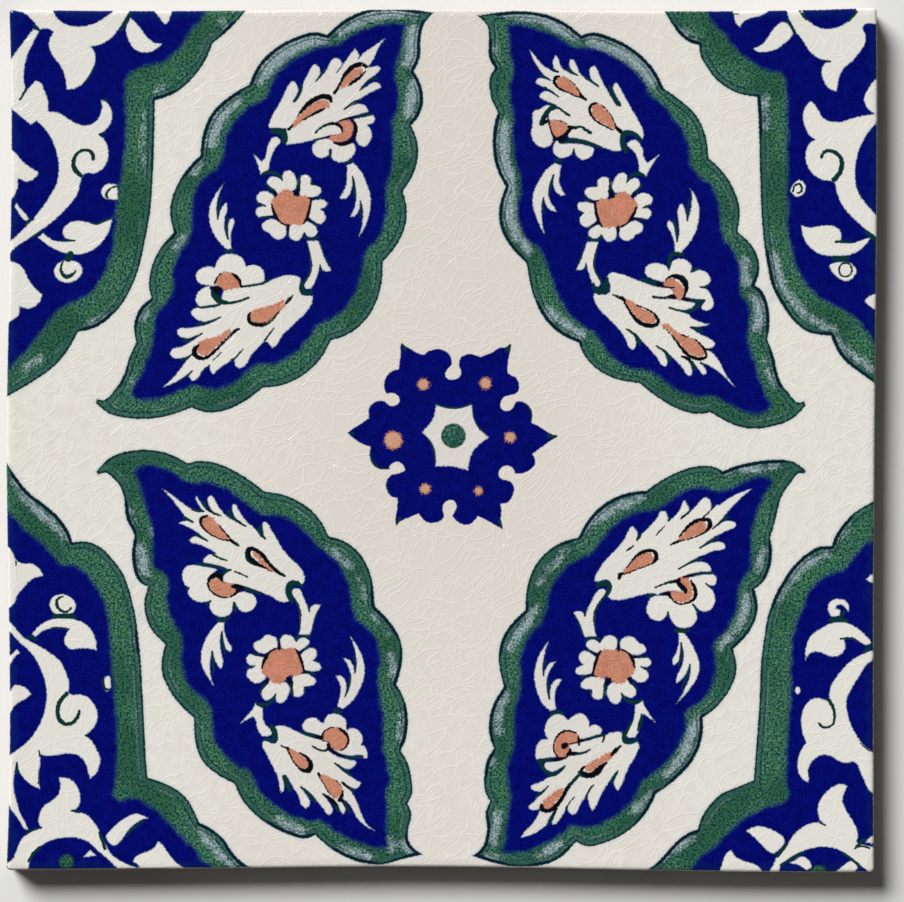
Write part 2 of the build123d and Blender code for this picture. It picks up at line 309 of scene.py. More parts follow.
blossomTopRight = dict(
    whites=dict(
        upperBlossom=[
            (44.3, 68.7, 1), (44.5, 70.4), (43.6, 72.4), (42, 75.2), (40.6, 77.7), (39.3, 80.1), (38, 81.7),
            (37.4, 80.9), (37.7, 79.6), (38.6, 77.9), (39.3, 76.8, 1), (38.2, 76.4, 1), (37.2, 78.1),
            (35.7, 80.6), (34.3, 83.4), (33.6, 85.1), (33, 85.7), (32.2, 85.2), (32, 83.9), (32.6, 82.2),
            (34.1, 80.8, 1), (32, 82), (30.6, 83), (29.7, 84), (28.9, 86), (28.2, 87.1), (27.6, 87.2),
            (27.3, 86.2), (27.7, 84.8), (29.3, 83.4, 1), (26.8, 84.3), (25.7, 85.1), (25, 86.4),
            (24.7, 87.5), (24.2, 88), (23.7, 87.3), (23.5, 86), (23.9, 84.9), (24.8, 84.1, 1), (22.5, 84.9),
            (21, 86), (19.8, 87.4), (18.1, 89.5, 1), (18.7, 87.7), (19.5, 86.2), (20.6, 84.6), (21.4, 83.5),
            (23, 82.3, 1), (21.9, 82.5), (20.9, 82.8), (19.9, 82.5), (19.5, 81.9), (20.2, 81.3),
            (21.4, 80.7), (22.7, 79.9), (24.9, 78.4, 1), (23.2, 79.4), (22, 79.8), (20.9, 79.4),
            (20.4, 78.7), (20.9, 78), (22.4, 77.3), (24.4, 76.5, 1), (22.8, 75.4), (22.5, 74),
            (22.9, 72.8, 1), (26.8, 71.6, 1), (27.1, 69, 1), (28.5, 68.9), (31, 68.4), (33.4, 67.5),
            (34.8, 66.9), (36.5, 66.3), (38, 65.9), (39.4, 66.1, 1), (39, 68), (39.3, 70.3, 1), (40.7, 70.8),
            (42.4, 70.3), (43.6, 69.3)],
        upperBudOuter=[
            (22.9, 76.4, 1), (21.9, 76.6), (21.2, 76), (20.2, 75.5), (19, 75.1), (18.8, 74), (18.9, 72.3),
            (18.6, 70.8), (18.5, 69.8), (18.9, 68.5), (19.7, 67.4), (20.8, 66.8), (21.9, 66.8), (23, 67.4),
            (23.7, 68.4, 1), (23.4, 69.6), (22.5, 72.2, 1), (21.9, 75, 1)],
        upperBudLower=[
            (24, 68), (24.6, 68.4), (25.2, 67.7), (27, 67.7), (29.5, 67.6), (31.5, 67.2), (33.1, 66.6, 1),
            (33, 65.8), (32.4, 64.8), (31.4, 64.1), (30.3, 63.9), (29.3, 64.5), (28.4, 66.2, 1), (27.6, 65),
            (26.7, 64.5), (25.4, 64.3), (24.3, 64.8), (23.6, 65.8), (23.6, 67)],
        lowerBud=[
            (44.8, 38.4), (45.2, 39.4), (46.4, 40), (47.4, 40.1), (48.8, 39.8), (49.8, 39.2),
            (50.4, 38.4, 1), (50.9, 39.9), (51.4, 40.7), (52.6, 41.1), (54, 40.9), (55.2, 40), (55.7, 38.9),
            (55.3, 38, 1), (56.2, 38.1), (57.4, 38.5), (58.6, 38.2), (59.6, 37.2), (60, 36.2), (59.6, 35.3),
            (57.5, 34.5, 1), (59.2, 33.9), (60.2, 32.4), (60.7, 31), (60.5, 29.9), (59.6, 29.2),
            (58.4, 29.1), (57.9, 29.6), (58.7, 31.5, 1), (57, 31.7), (54, 32.2, 1), (52.4, 34.6), (50, 35.5),
            (48, 35.9), (46.6, 36.4), (45.4, 36.9), (44.9, 37.6)],
        lowerBlossom=[
            (36.1, 37), (37, 37.9), (38.5, 37.7), (40.2, 37.3), (42, 36.5), (44, 35.8), (45.6, 35.2),
            (47.4, 34.6), (49, 34.4), (51, 34.2), (51.6, 33), (52.6, 31.7, 1), (54.6, 31.2), (56.4, 30.7),
            (55.6, 29.7), (54, 29.2), (52.2, 29.4, 1), (54, 28.5), (55, 28.2), (55.3, 27.6), (56.4, 27),
            (58, 26.3), (59.8, 26, 1), (58.4, 25.5), (56.6, 25.3), (55.2, 25.3, 1), (56.4, 24.4),
            (57.6, 23.6), (59.2, 22.9), (60.6, 22), (61, 21.3), (60.6, 20.7), (58.8, 20.3, 1), (60.3, 19.4),
            (61.2, 18.4), (62.2, 17), (62.8, 15.6), (63.6, 14.2), (65.6, 11.4, 1), (63.4, 13.5), (62, 14.8),
            (60.4, 15.9), (57.6, 17, 1), (58.3, 16.4), (58.9, 15.2), (58.9, 14.4), (58.4, 14.2), (57.6, 15),
            (56.8, 16), (55.8, 17, 1), (54.9, 17.6, 1), (55.5, 16.2), (55.7, 15.2), (55.6, 14.2), (54.8, 14),
            (54, 14.9), (53.2, 16.2), (52.2, 17.2), (50.6, 18.8, 1), (49.6, 18.8), (50, 17.6), (49.9, 16.6),
            (49.4, 16.1), (48.6, 16.6), (47.6, 18.2), (46.4, 19.6), (45.2, 20.9), (43.6, 22.6, 1),
            (42.5, 22.8), (42.8, 21.8), (42.6, 20.6), (41.9, 20), (41.2, 20.4), (40.6, 21.8), (39.8, 23.4),
            (38.6, 25), (37.2, 26.4), (35.6, 28), (34.2, 29.5), (33.2, 31.2), (32.9, 32.7), (33.4, 33.2, 1),
            (34.6, 33), (35.8, 32.7), (36.6, 33.4), (36.8, 34.6), (36.4, 35.8)],
    ),
    salmon=dict(
        upperDropOne=[
            (24.4, 82.2), (25.2, 83), (26.2, 82.9), (27.5, 82), (28.7, 80.8), (29.7, 79.5), (29.8, 78.8),
            (29.2, 78.7), (27.6, 79.4), (26, 80), (25.2, 80.6), (24.7, 81.4)],
        upperDropTwo=[
            (32.6, 75.6), (32.9, 76.5), (33.6, 76.9), (34.6, 76.5), (35.9, 75.2), (37, 73.6), (37.8, 72.2),
            (38, 71.2), (37.4, 71.1), (36, 71.9), (34.6, 72.6), (33.4, 73.6), (32.7, 74.6)],
        upperBudHeart=[
            (22.8, 72.7), (24, 72.9), (25.2, 72.7), (26.6, 72), (27, 71.2), (26.3, 70.3), (25.2, 69.5),
            (24.2, 69.3), (23.5, 70), (23.1, 71.2)],
        lowerBudHeart=[
            (49.1, 35), (49.6, 35.8), (50.6, 36.6), (51.6, 36.4), (52.4, 35.4), (53.4, 34.6), (54, 33.6),
            (53.8, 32.4), (52.6, 31.6), (52, 31.9), (51.6, 33), (51.2, 34.2), (50.2, 34.6)],
        lowerDropOne=[
            (40, 31.2), (40.6, 31.6), (41.8, 31), (43.4, 29.9), (45.2, 29), (46.6, 28.2), (47.4, 27.4),
            (47, 26.5), (45.6, 26.2), (44, 26.8), (42.4, 28.2), (41.2, 29.6)],
        lowerDropTwo=[
            (48.7, 25.6), (49.6, 26), (51, 25), (52.8, 23.6), (54.6, 23), (56.4, 22.2), (57.6, 21),
            (58.6, 19.6), (58.4, 18.8), (57, 18.7), (55.2, 19.2), (53.8, 20.4), (52.4, 22.2), (51, 23.8),
            (49.6, 25)],
    ),
    lines=[
        [(36.6, 80.9, .7), (37.3, 79.3, .9), (38, 77.6, .9), (39, 76.5, .8)],
        [(31.1, 83, .5), (32.6, 82, .5), (34, 80.9, .6)],
        [(26.8, 84.9, .5), (28.1, 84, .6), (29.3, 83.4, .4)], [(23.6, 84.6, .7), (24.7, 84.2, .5)],
        [(20.8, 83.5, .6), (22, 82.9, .5), (23, 82.3, .35)],
        [(21.6, 80.6, .6), (23, 79.8, .6), (24.9, 78.4, .4)],
        [(20.9, 72.3, 1.2), (21.4, 73.6, 1.3), (22.3, 75, 1.2), (23.6, 75.9, 1), (24.9, 75.9, .6),
         (26, 75, .6), (27.3, 74.2, .7)],
        [(21.4, 72.6, 1), (22.4, 72.9, .8)], [(22.7, 76.9, .5), (24.2, 76.3, .6)],
        [(25, 83.2, .5), (24.1, 82.8, .9), (23.9, 81.8, .9), (24.4, 80.9, .7), (25.4, 80.1, .6),
         (27, 79.5, .5), (28.6, 78.7, .45), (29.7, 78.4, .4)],
        [(25.9, 83.2, .25), (27.6, 82.2, .25), (29.2, 80.4, .3), (29.8, 79.3, .35)],
        [(29.8, 79.2, .7), (30.4, 78.3, 1), (31.2, 77.8, .7)],
        [(33.7, 77, .5), (32.5, 76.7, .7), (32, 75.7, .8), (32.3, 74.4, .7), (33.2, 73.2, .55),
         (34.6, 72.2, .5), (36, 71.5, .5), (37.4, 70.8, .4)],
        [(34.6, 76.7, .3), (36.2, 75.2, .3), (37.6, 73, .35), (38.1, 71.6, .4)],
        [(38.1, 71.4, .8), (38.9, 70.7, 1), (39.6, 70.1, .9)],
        [(22.7, 72.8, .35), (23, 71.2, .4), (23.4, 69.9, .5), (24.1, 69, .6)],
        [(23.6, 73.1, .25), (25.3, 72.9, .25), (26.8, 72.2, .35)],
        [(27.2, 71.5, .9), (28.6, 71.3, .9), (29.9, 71.6, .6), (31, 70.9, .7), (32.1, 70.2, 1)],
        [(27.6, 71.1, .9), (26.9, 70.2, .9), (25.9, 69.2, 1.1), (24.6, 68.8, .8), (23.6, 68.5, .5)],
        [(25.9, 69, 1.2), (26.2, 68.4, 1.2)],
        [(25.2, 68.1, .9), (27, 68.4, .9), (29, 68.3, 1), (31.5, 67.8, 1), (33.4, 67.2, .8),
         (34.8, 66.7, .5)],
        [(28.4, 66.4, .5), (28.2, 65.4, .6)], [(24, 63.9, .6), (25.2, 63.8, .9)],
        [(44, 68.2, .5), (43.2, 69.3, .9), (41.5, 70.1, 1.1), (40, 69.9, 1.3), (39.6, 68.6, 1.2),
         (39.9, 67.2, 1.2), (40.5, 65.8, 1.1)],
        [(33, 35.4, .6), (33, 34.4, .9), (33.8, 33.8, 1.2), (35, 33.6, 1.4), (35.9, 34.2, 1.4),
         (36, 35.4, 1), (36.2, 36.6, .5)],
        [(44, 36.3, .7), (46, 35.8, 1), (48, 35.2, 1.1), (49, 34.9, .6)],
        [(49.6, 36.1, .4), (50.8, 37, .7), (52.2, 37, 1.2), (53.4, 36.4, 1.6), (54.2, 35.3, 1.5),
         (54.4, 34, 1), (54, 32.8, .6), (53.8, 31.9, .4)],
        [(49.2, 34.6, .4), (50.4, 34.4, .4), (51.6, 34.4, .4)],
        [(46.7, 32.3, .7), (48.4, 32, .6), (50, 32.1, .8), (51.2, 32.3, 1.4), (51.8, 32, .8)],
        [(53.6, 31.8, .8), (55.2, 31.5, .6), (57, 31.3, .7), (58.4, 31.4, .8)],
        [(58.3, 31.2, .9), (57.4, 30.5, 1.1), (56.6, 29.7, .9), (55.6, 29, .7), (54, 28.9, .5),
         (52.2, 29.2, .5), (50.4, 29.8, .6)],
        [(57.6, 34.5, .5), (58.6, 34.5, .5), (59.4, 34.9, .6)],
        [(55.4, 37.9, .4), (56.2, 38.5, .7), (57, 38.9, .5)],
        [(50.8, 42, 1), (50.5, 40.6, 1), (50.4, 39, .6)], [(51.2, 42.3, .9), (52.6, 42, 1), (53.6, 42, .6)],
        [(37.4, 32.7, .4), (38.6, 32.3, .8), (39.8, 31.7, 1), (40.2, 31.2, .5)],
        [(42.9, 30.3, .4), (44.4, 29.8, .35), (46, 29, .5), (47.2, 28, .7), (47.9, 26.8, .9)],
        [(40, 30.9, .5), (41, 29.4, .6), (42.2, 27.7, .9), (43.4, 26.4, 1), (45, 25.7, 1.1),
         (46.6, 25.6, 1.1), (47.7, 26.1, 1), (48, 26.9, .6)],
        [(53.2, 23.6, .3), (54, 23.2, .5), (55, 22.9, .3)],
        [(56.4, 22.4, .4), (57.6, 21.3, .6), (58.6, 20, .7), (59, 19, .6)],
        [(49.2, 25.1, .25), (50.6, 23.8, .35), (52, 22.1, .6), (53.2, 20.5, .8), (54.6, 18.9, .9),
         (56, 18.2, 1), (57.6, 17.9, .9), (58.8, 18.3, .8), (59.1, 19, .5)],
        [(55.3, 25.2, .5), (56.6, 24.9, .9), (57.8, 24.3, .9)], [(58.8, 20.2, .5), (60.2, 19.9, .6)],
        [(57.6, 17, .5), (58.8, 16.6, .4), (59.6, 16.3, .4)],
        [(53.4, 18.5, .6), (54.6, 18, .8), (55.5, 17.2, .9), (56.3, 15.8, 1)],
        [(47.4, 20.9, .5), (48.6, 20.2, .6), (49.6, 19.4, .8), (50.3, 18.4, 1), (50.4, 17.6, .8)],
        [(40.6, 24.8, .6), (41.8, 24, .7), (42.8, 23.2, .9), (43.3, 22.2, 1.1), (43.5, 21.4, .8)]],
)

blossomBottomLeft = dict(
    whites=dict(
        upperBlossom=[
            (17.6, 91, 1), (18.8, 90.6), (20.2, 89.6), (21.8, 88), (22.6, 86.4), (23.5, 84.9),
            (25.3, 83.6, 1), (24.8, 84.6), (24.4, 85.9), (24.5, 86.9), (24.9, 87.2), (25.4, 86.7),
            (26.1, 85.4), (26.9, 84.2), (28.2, 83.2), (29.7, 82.5, 1), (28.6, 83.9), (27.8, 85),
            (27.3, 86.2), (27.5, 87), (28.2, 87.5), (28.8, 87), (29.6, 85.8), (30.8, 84.4), (31.8, 83.1),
            (33, 82), (34.7, 81, 1), (34, 82), (33.1, 83.2), (32.5, 84.5), (32.8, 85.3), (33.6, 85.9),
            (34.4, 85.3), (34.9, 84.1), (35.4, 82.6), (36.3, 81.3), (37.1, 79.8), (38.2, 78.2, 1),
            (39, 78.4, 1), (38.7, 79.8), (38.5, 81.2), (38.8, 82.1), (39.2, 82.3), (39.5, 81.6), (39.7, 80),
            (40.1, 78.4), (40.9, 76.7), (41.9, 74.8), (42.9, 72.9), (43.6, 71.3), (43.4, 70.4),
            (42.6, 70.3, 1), (41.8, 70.7), (40.8, 70.9), (40.1, 70.4), (40, 69.2), (40.6, 66.9, 1),
            (39.6, 66.7), (38.4, 66.9), (36.6, 67.6), (34.8, 68.5), (33, 69.2), (30.6, 69.9),
            (28.3, 70.5, 1), (28.2, 72.6, 1), (26.8, 73.6), (24.6, 74.4), (21.9, 74.9, 1), (22, 75.7),
            (22.8, 76.5), (23.7, 76.9), (24.7, 76.6), (26.8, 75.5, 1), (25.6, 76.7), (24, 77.9),
            (22.8, 78.8), (20.8, 79.9, 1), (21, 80.5), (21.6, 81.2), (22.4, 81.3), (23.6, 80.8),
            (25.1, 79.9, 1), (23.2, 81.5), (22.6, 82.8), (21.8, 84.2), (21.1, 86.1), (20.3, 88.1),
            (19.4, 89.6)],
        upperBud=[
            (19.4, 74.2, 1), (20.3, 74.3), (20.7, 73.6), (22.5, 73.7), (24.6, 73.5), (26.3, 72.9),
            (27.2, 72.3, 1), (27, 70.5, 1), (29.6, 69.4, 1), (30.6, 69), (32.4, 68.5), (33.9, 68),
            (34.4, 67.2), (34.1, 66.1), (33.2, 65.2), (32, 64.8), (31, 65.1), (30.4, 65.7), (29.9, 66.2, 1),
            (29.4, 66.1, 1), (29.1, 65.2), (28.5, 64.4), (27.4, 64), (26.3, 64.1), (25.2, 64.6),
            (24.4, 65.3), (24.1, 66.3), (24.2, 67.6, 1), (23.9, 67.8, 1), (23, 67.3), (22, 67.5),
            (21.1, 68.2), (20.5, 69.2), (20.4, 70.2), (20.8, 71.2, 1), (20, 71.5), (19.6, 72.2),
            (19.3, 73.3)],
        lowerBud=[
            (44.9, 38), (45.2, 39.2), (46.2, 40.2), (47.4, 40.6), (48.6, 40.3), (49.3, 39.4), (50, 38.2, 1),
            (50.5, 39.4), (50.6, 40.4), (51.4, 41.3), (52.6, 41.7), (54, 41.5), (55.2, 40.6), (55.8, 39.4),
            (55.5, 37.9, 1), (56.6, 38.2), (58, 38.3), (59.4, 37.8), (60.4, 36.9), (60.8, 36), (60.4, 35, 1),
            (61.2, 34.5), (61.9, 33.4), (62.1, 32), (61.8, 30.7), (61, 29.9), (60, 29.7), (57, 30),
            (54, 30.7, 1), (54.6, 31.4, 1), (53, 34), (49.6, 36.2), (48.8, 35.9), (47.6, 35.9), (46.4, 36.2),
            (45.4, 36.8)],
        lowerBlossom=[
            (37.5, 38.1, 1), (38.6, 38.3), (40, 37.9), (41.2, 37.1), (43, 36.3), (45, 35.6), (47, 34.9),
            (49.2, 34.2), (52, 33.8), (52.8, 33.2), (52.6, 32.2), (51.6, 31.2), (50.9, 30.9, 1), (53, 30),
            (55.4, 29.4), (57.3, 28.9), (57, 28.2), (56.2, 27.4), (55.4, 27.1, 1), (54.2, 27.1), (55.8, 26),
            (57, 25.4), (58.6, 24.8), (60, 24.5), (60.5, 24.1), (60, 23.4), (59, 23), (56.2, 24.2, 1),
            (57.6, 23), (59, 21.9), (60.6, 21), (62.9, 20, 1), (61.8, 19.5), (60.8, 19.5), (59.6, 19.9, 1),
            (61.6, 18.2), (62.8, 16.6), (64.2, 14.8), (65.6, 13.2), (66.8, 12, 1), (65.2, 12.9),
            (63.4, 14.3), (61.6, 15.7), (60, 16.7), (57.2, 17.2, 1), (58.3, 15.8), (58.8, 14.8), (59.1, 14),
            (58.7, 13.8), (58.2, 14.6), (57.4, 15.8), (56.4, 16.8), (54.9, 17.6, 1), (55.6, 16.4),
            (56.2, 15.2), (56.2, 14.2), (55.6, 13.6), (54.9, 14), (54.2, 15.4), (53.2, 16.8), (52.2, 18),
            (50.4, 19.3, 1), (49.6, 19.2, 1), (50.2, 18), (50.6, 16.6), (50.4, 15.7), (49.9, 15.6),
            (49.2, 16.8), (48.2, 18.4), (47, 19.9), (45.6, 21), (44, 22.8, 1), (43.3, 22.4, 1), (43.4, 21.4),
            (43.6, 20.4), (43.1, 19.6), (42.5, 19.9), (41.6, 21.4), (40.6, 23), (39.6, 24.8), (38.4, 26.6),
            (37, 28.2), (35.4, 29.6), (34.3, 31), (33.8, 32.6), (34, 33.8), (34.6, 34.2, 1), (35.4, 33.6),
            (36.6, 33.2), (37.6, 33.6), (38.2, 34.8), (38.2, 36.2), (37.8, 37.4)],
    ),
    salmon=dict(
        upperDropOne=[
            (25.2, 82.2), (26, 83.2), (26.6, 83.5), (27.5, 82.9), (28.4, 81.7), (29.2, 80.2), (30.1, 79),
            (30.3, 78.4), (29.7, 78.2), (28.4, 78.7), (26.8, 79.5), (25.6, 80.4), (25.2, 81.3)],
        upperDropTwo=[
            (33, 75.4), (33.2, 76.3), (34, 76.9), (34.9, 76.5), (35.9, 75.5), (36.8, 74.1), (37.6, 72.7),
            (37.7, 72.2), (36.9, 72.3), (35.4, 73.2), (34.1, 74), (33.4, 74.6)],
        upperBudHeart=[
            (23.7, 70.3), (24.1, 71.4), (25, 72.2), (26.1, 72.4), (27.2, 72), (27.8, 71.3), (27.9, 70.6, 1),
            (28.6, 70.3), (29.6, 70), (29.8, 69.2), (29.2, 68.2), (28.1, 67.5), (26.7, 67.3), (25.4, 67.7),
            (24.4, 68.6)],
        lowerBudHeart=[
            (49.4, 35.7), (50.2, 36.4), (51.6, 36.9), (53.2, 36.8), (54.6, 36.1), (55.6, 35), (55.9, 33.9),
            (55.2, 33), (54, 32.9), (53.2, 33.6), (52, 34), (50.6, 34.1)],
        lowerDropOne=[
            (40.7, 31.2), (41.6, 31), (42.8, 30.2), (43.8, 29.2), (44.6, 28.2), (45.6, 27.2), (45.6, 26.6),
            (44.9, 26.8), (43.8, 28), (42.8, 29.2), (41.6, 30.2)],
        lowerDropTwo=[
            (51.4, 23.8), (52.2, 24), (53.8, 23.2), (55.4, 22.4), (56.8, 21.3), (57.5, 20), (57.3, 19),
            (56.4, 18.5), (55.2, 19), (54.2, 20), (53, 21.4), (52.2, 22.6)],
    ),
    lines=[
        [(23.4, 86.8, .5), (24.2, 85.4, .8), (25.2, 84, .9)],
        [(25.9, 86.6, .6), (26.5, 85.3, 1.1), (27.8, 83.8, .9), (29.6, 82.6, .5)],
        [(31.3, 84.4, .5), (32.1, 83.4, .9), (33.4, 81.9, .6), (34.7, 81, .5)],
        [(37.2, 81.8, .8), (37.9, 80.2, 1.1), (38.5, 78.5, .9)],
        [(22.6, 81.9, .7), (23.7, 81.1, .6), (25, 80, .7)],
        [(23, 78.3, .5), (24.6, 77.2, .7), (25.7, 76.2, .6), (26.8, 75.5, .5)],
        [(20.4, 73.9, .7), (22, 74.1, .6), (24.5, 74, .6), (26.5, 73.2, .6), (28, 72.2, .9),
         (28.4, 71.2, .9)],
        [(28.2, 72.2, .7), (29.6, 72.6, .6), (31, 72.1, .6), (32.1, 71.4, .5)],
        [(29.8, 69.6, .9), (31.2, 69.3, 1), (33, 68.8, .9), (35, 68.2, .4)],
        [(28, 70.6, .2), (29.6, 70.3, .3)],
        [(25.8, 84, .9), (25.6, 83.5, 1), (25, 82.6, .7), (25.1, 81.8, .4)],
        [(27, 83.4, .25), (28.4, 82, .3), (29.4, 80.2, .35), (30.3, 78.8, .4)],
        [(25.2, 80.9, .25), (26.6, 79.4, .25)], [(30.2, 78.5, .5), (30.6, 77.9, .8)],
        [(35.2, 76.6, .5), (34, 77.2, .9), (32.9, 77.1, 1.4), (32.3, 76.1, 1.3), (32.7, 74.9, 1),
         (33.7, 73.8, .7), (35, 73.1, .4)],
        [(34.9, 76.7, .4), (36.2, 75.3, .4), (37.2, 73.5, .4), (37.6, 72.6, .4)],
        [(37.6, 72.1, .8), (38.4, 71.8, .5), (39.2, 71.4, .5)],
        [(25.6, 72.5, .4), (24.5, 71.9, .5), (23.8, 70.9, .6), (23.7, 69.7, .6), (24.3, 68.6, .9),
         (25.3, 67.8, .8), (26, 67.4, .4)],
        [(26.8, 67.2, .25), (28.2, 67.4, .35), (29.2, 68.1, .4), (29.8, 69, .5), (29.9, 69.8, .6)],
        [(24, 67.4, .4), (24.1, 66.6, .3)], [(25.4, 63.6, .8), (26.8, 63.3, 1.1)],
        [(43.3, 70, .5), (42.4, 70, .8), (41.5, 70.2, 1), (40.8, 70, 1.2), (40.7, 69.2, 1.3), (41, 68, 1.3),
         (41.4, 67, 1.1)],
        [(34.4, 34.6, .7), (35.6, 34, 1), (36.8, 33.9, 1.2), (37.5, 34.8, 1.3), (37.5, 36.2, 1.2),
         (37, 37.6, .8), (36.6, 38.6, .4)],
        [(44, 36.2, .7), (46, 35.6, .9), (48, 34.9, .9), (49.8, 34.5, 1)],
        [(49.2, 35.6, 1), (50, 36.5, .5), (51.4, 37.1, .4), (53, 37.1, .5), (54.6, 36.4, .5),
         (55.8, 35.2, .5), (56.2, 34, .5)],
        [(56.1, 33.8, .6), (55.6, 32.6, 1.1), (54.4, 32, 1.4), (53.4, 32.2, 1.3), (52.9, 33.2, .7)],
        [(50.4, 34.6, .9), (49.6, 34.9, .8)], [(52.8, 31.8, .9), (51.8, 31.1, .7), (50.8, 30.8, .5)],
        [(47, 32.4, .45), (48.6, 31.7, .5), (50, 31.2, .45)],
        [(52, 30.8, .6), (53.6, 30.2, .6), (55.4, 29.8, .6), (57.2, 29.5, .7), (58.6, 29.5, .6)],
        [(51.8, 28.6, .5), (53.2, 28.2, .6), (54.6, 27.5, .6), (55.2, 27.2, .5)],
        [(49.8, 40.4, .5), (50, 39.2, .9), (50.1, 38.4, .6)],
        [(51, 41.6, .4), (52.2, 42.4, .7), (53.4, 42.6, .7), (54.2, 42.4, .4)],
        [(55.6, 38, .5), (56.4, 38.9, .6)], [(60.5, 35, .5), (61.2, 35.2, .5)],
        [(38.3, 32.2, .6), (39.4, 31.7, .9), (40.6, 30.8, 1)],
        [(40.4, 31, .7), (41.6, 29.8, .8), (42.6, 28.6, 1), (43.6, 27.4, 1.1), (44.6, 26.5, 1),
         (45.6, 26, 1), (46.6, 26, 1.2), (47, 26.8, 1.4), (46.6, 28.2, 1.6), (45.6, 29, 1.5),
         (44.6, 29.6, 1), (43, 30.3, .5), (41.4, 31.2, .4)],
        [(49.1, 25.2, .7), (50, 24.6, .9), (51, 23.9, .8)],
        [(51.2, 24, .5), (53, 23.8, .3), (55, 22.9, .4), (56.6, 21.8, .5), (57.6, 20.6, .6),
         (57.9, 19.4, .8), (57.2, 18.6, .8), (56.2, 18.3, .5)],
        [(51.2, 23.4, .6), (52.4, 21.9, .5), (53.4, 20.7, .5)],
        [(56.2, 24.1, .5), (57.6, 23.4, .6), (58.8, 22.7, .8)],
        [(59.6, 19.8, .5), (60.6, 19.2, .6), (61.6, 18.8, .8)],
        [(57, 17.3, .4), (58.4, 17.2, .7), (59.8, 16.9, .6)],
        [(53.2, 18.3, .5), (54.6, 17.8, .6), (56, 17, .7), (57, 15.8, .8), (57.4, 15.2, .8)],
        [(47.4, 20.7, .5), (48.8, 19.9, .7), (50.2, 19, .7), (51.2, 18, .9), (51.4, 17.2, .9)],
        [(43, 23.6, .6), (43.8, 22.6, 1), (44.2, 21.6, 1.1), (43.9, 20.8, .8)]],
)

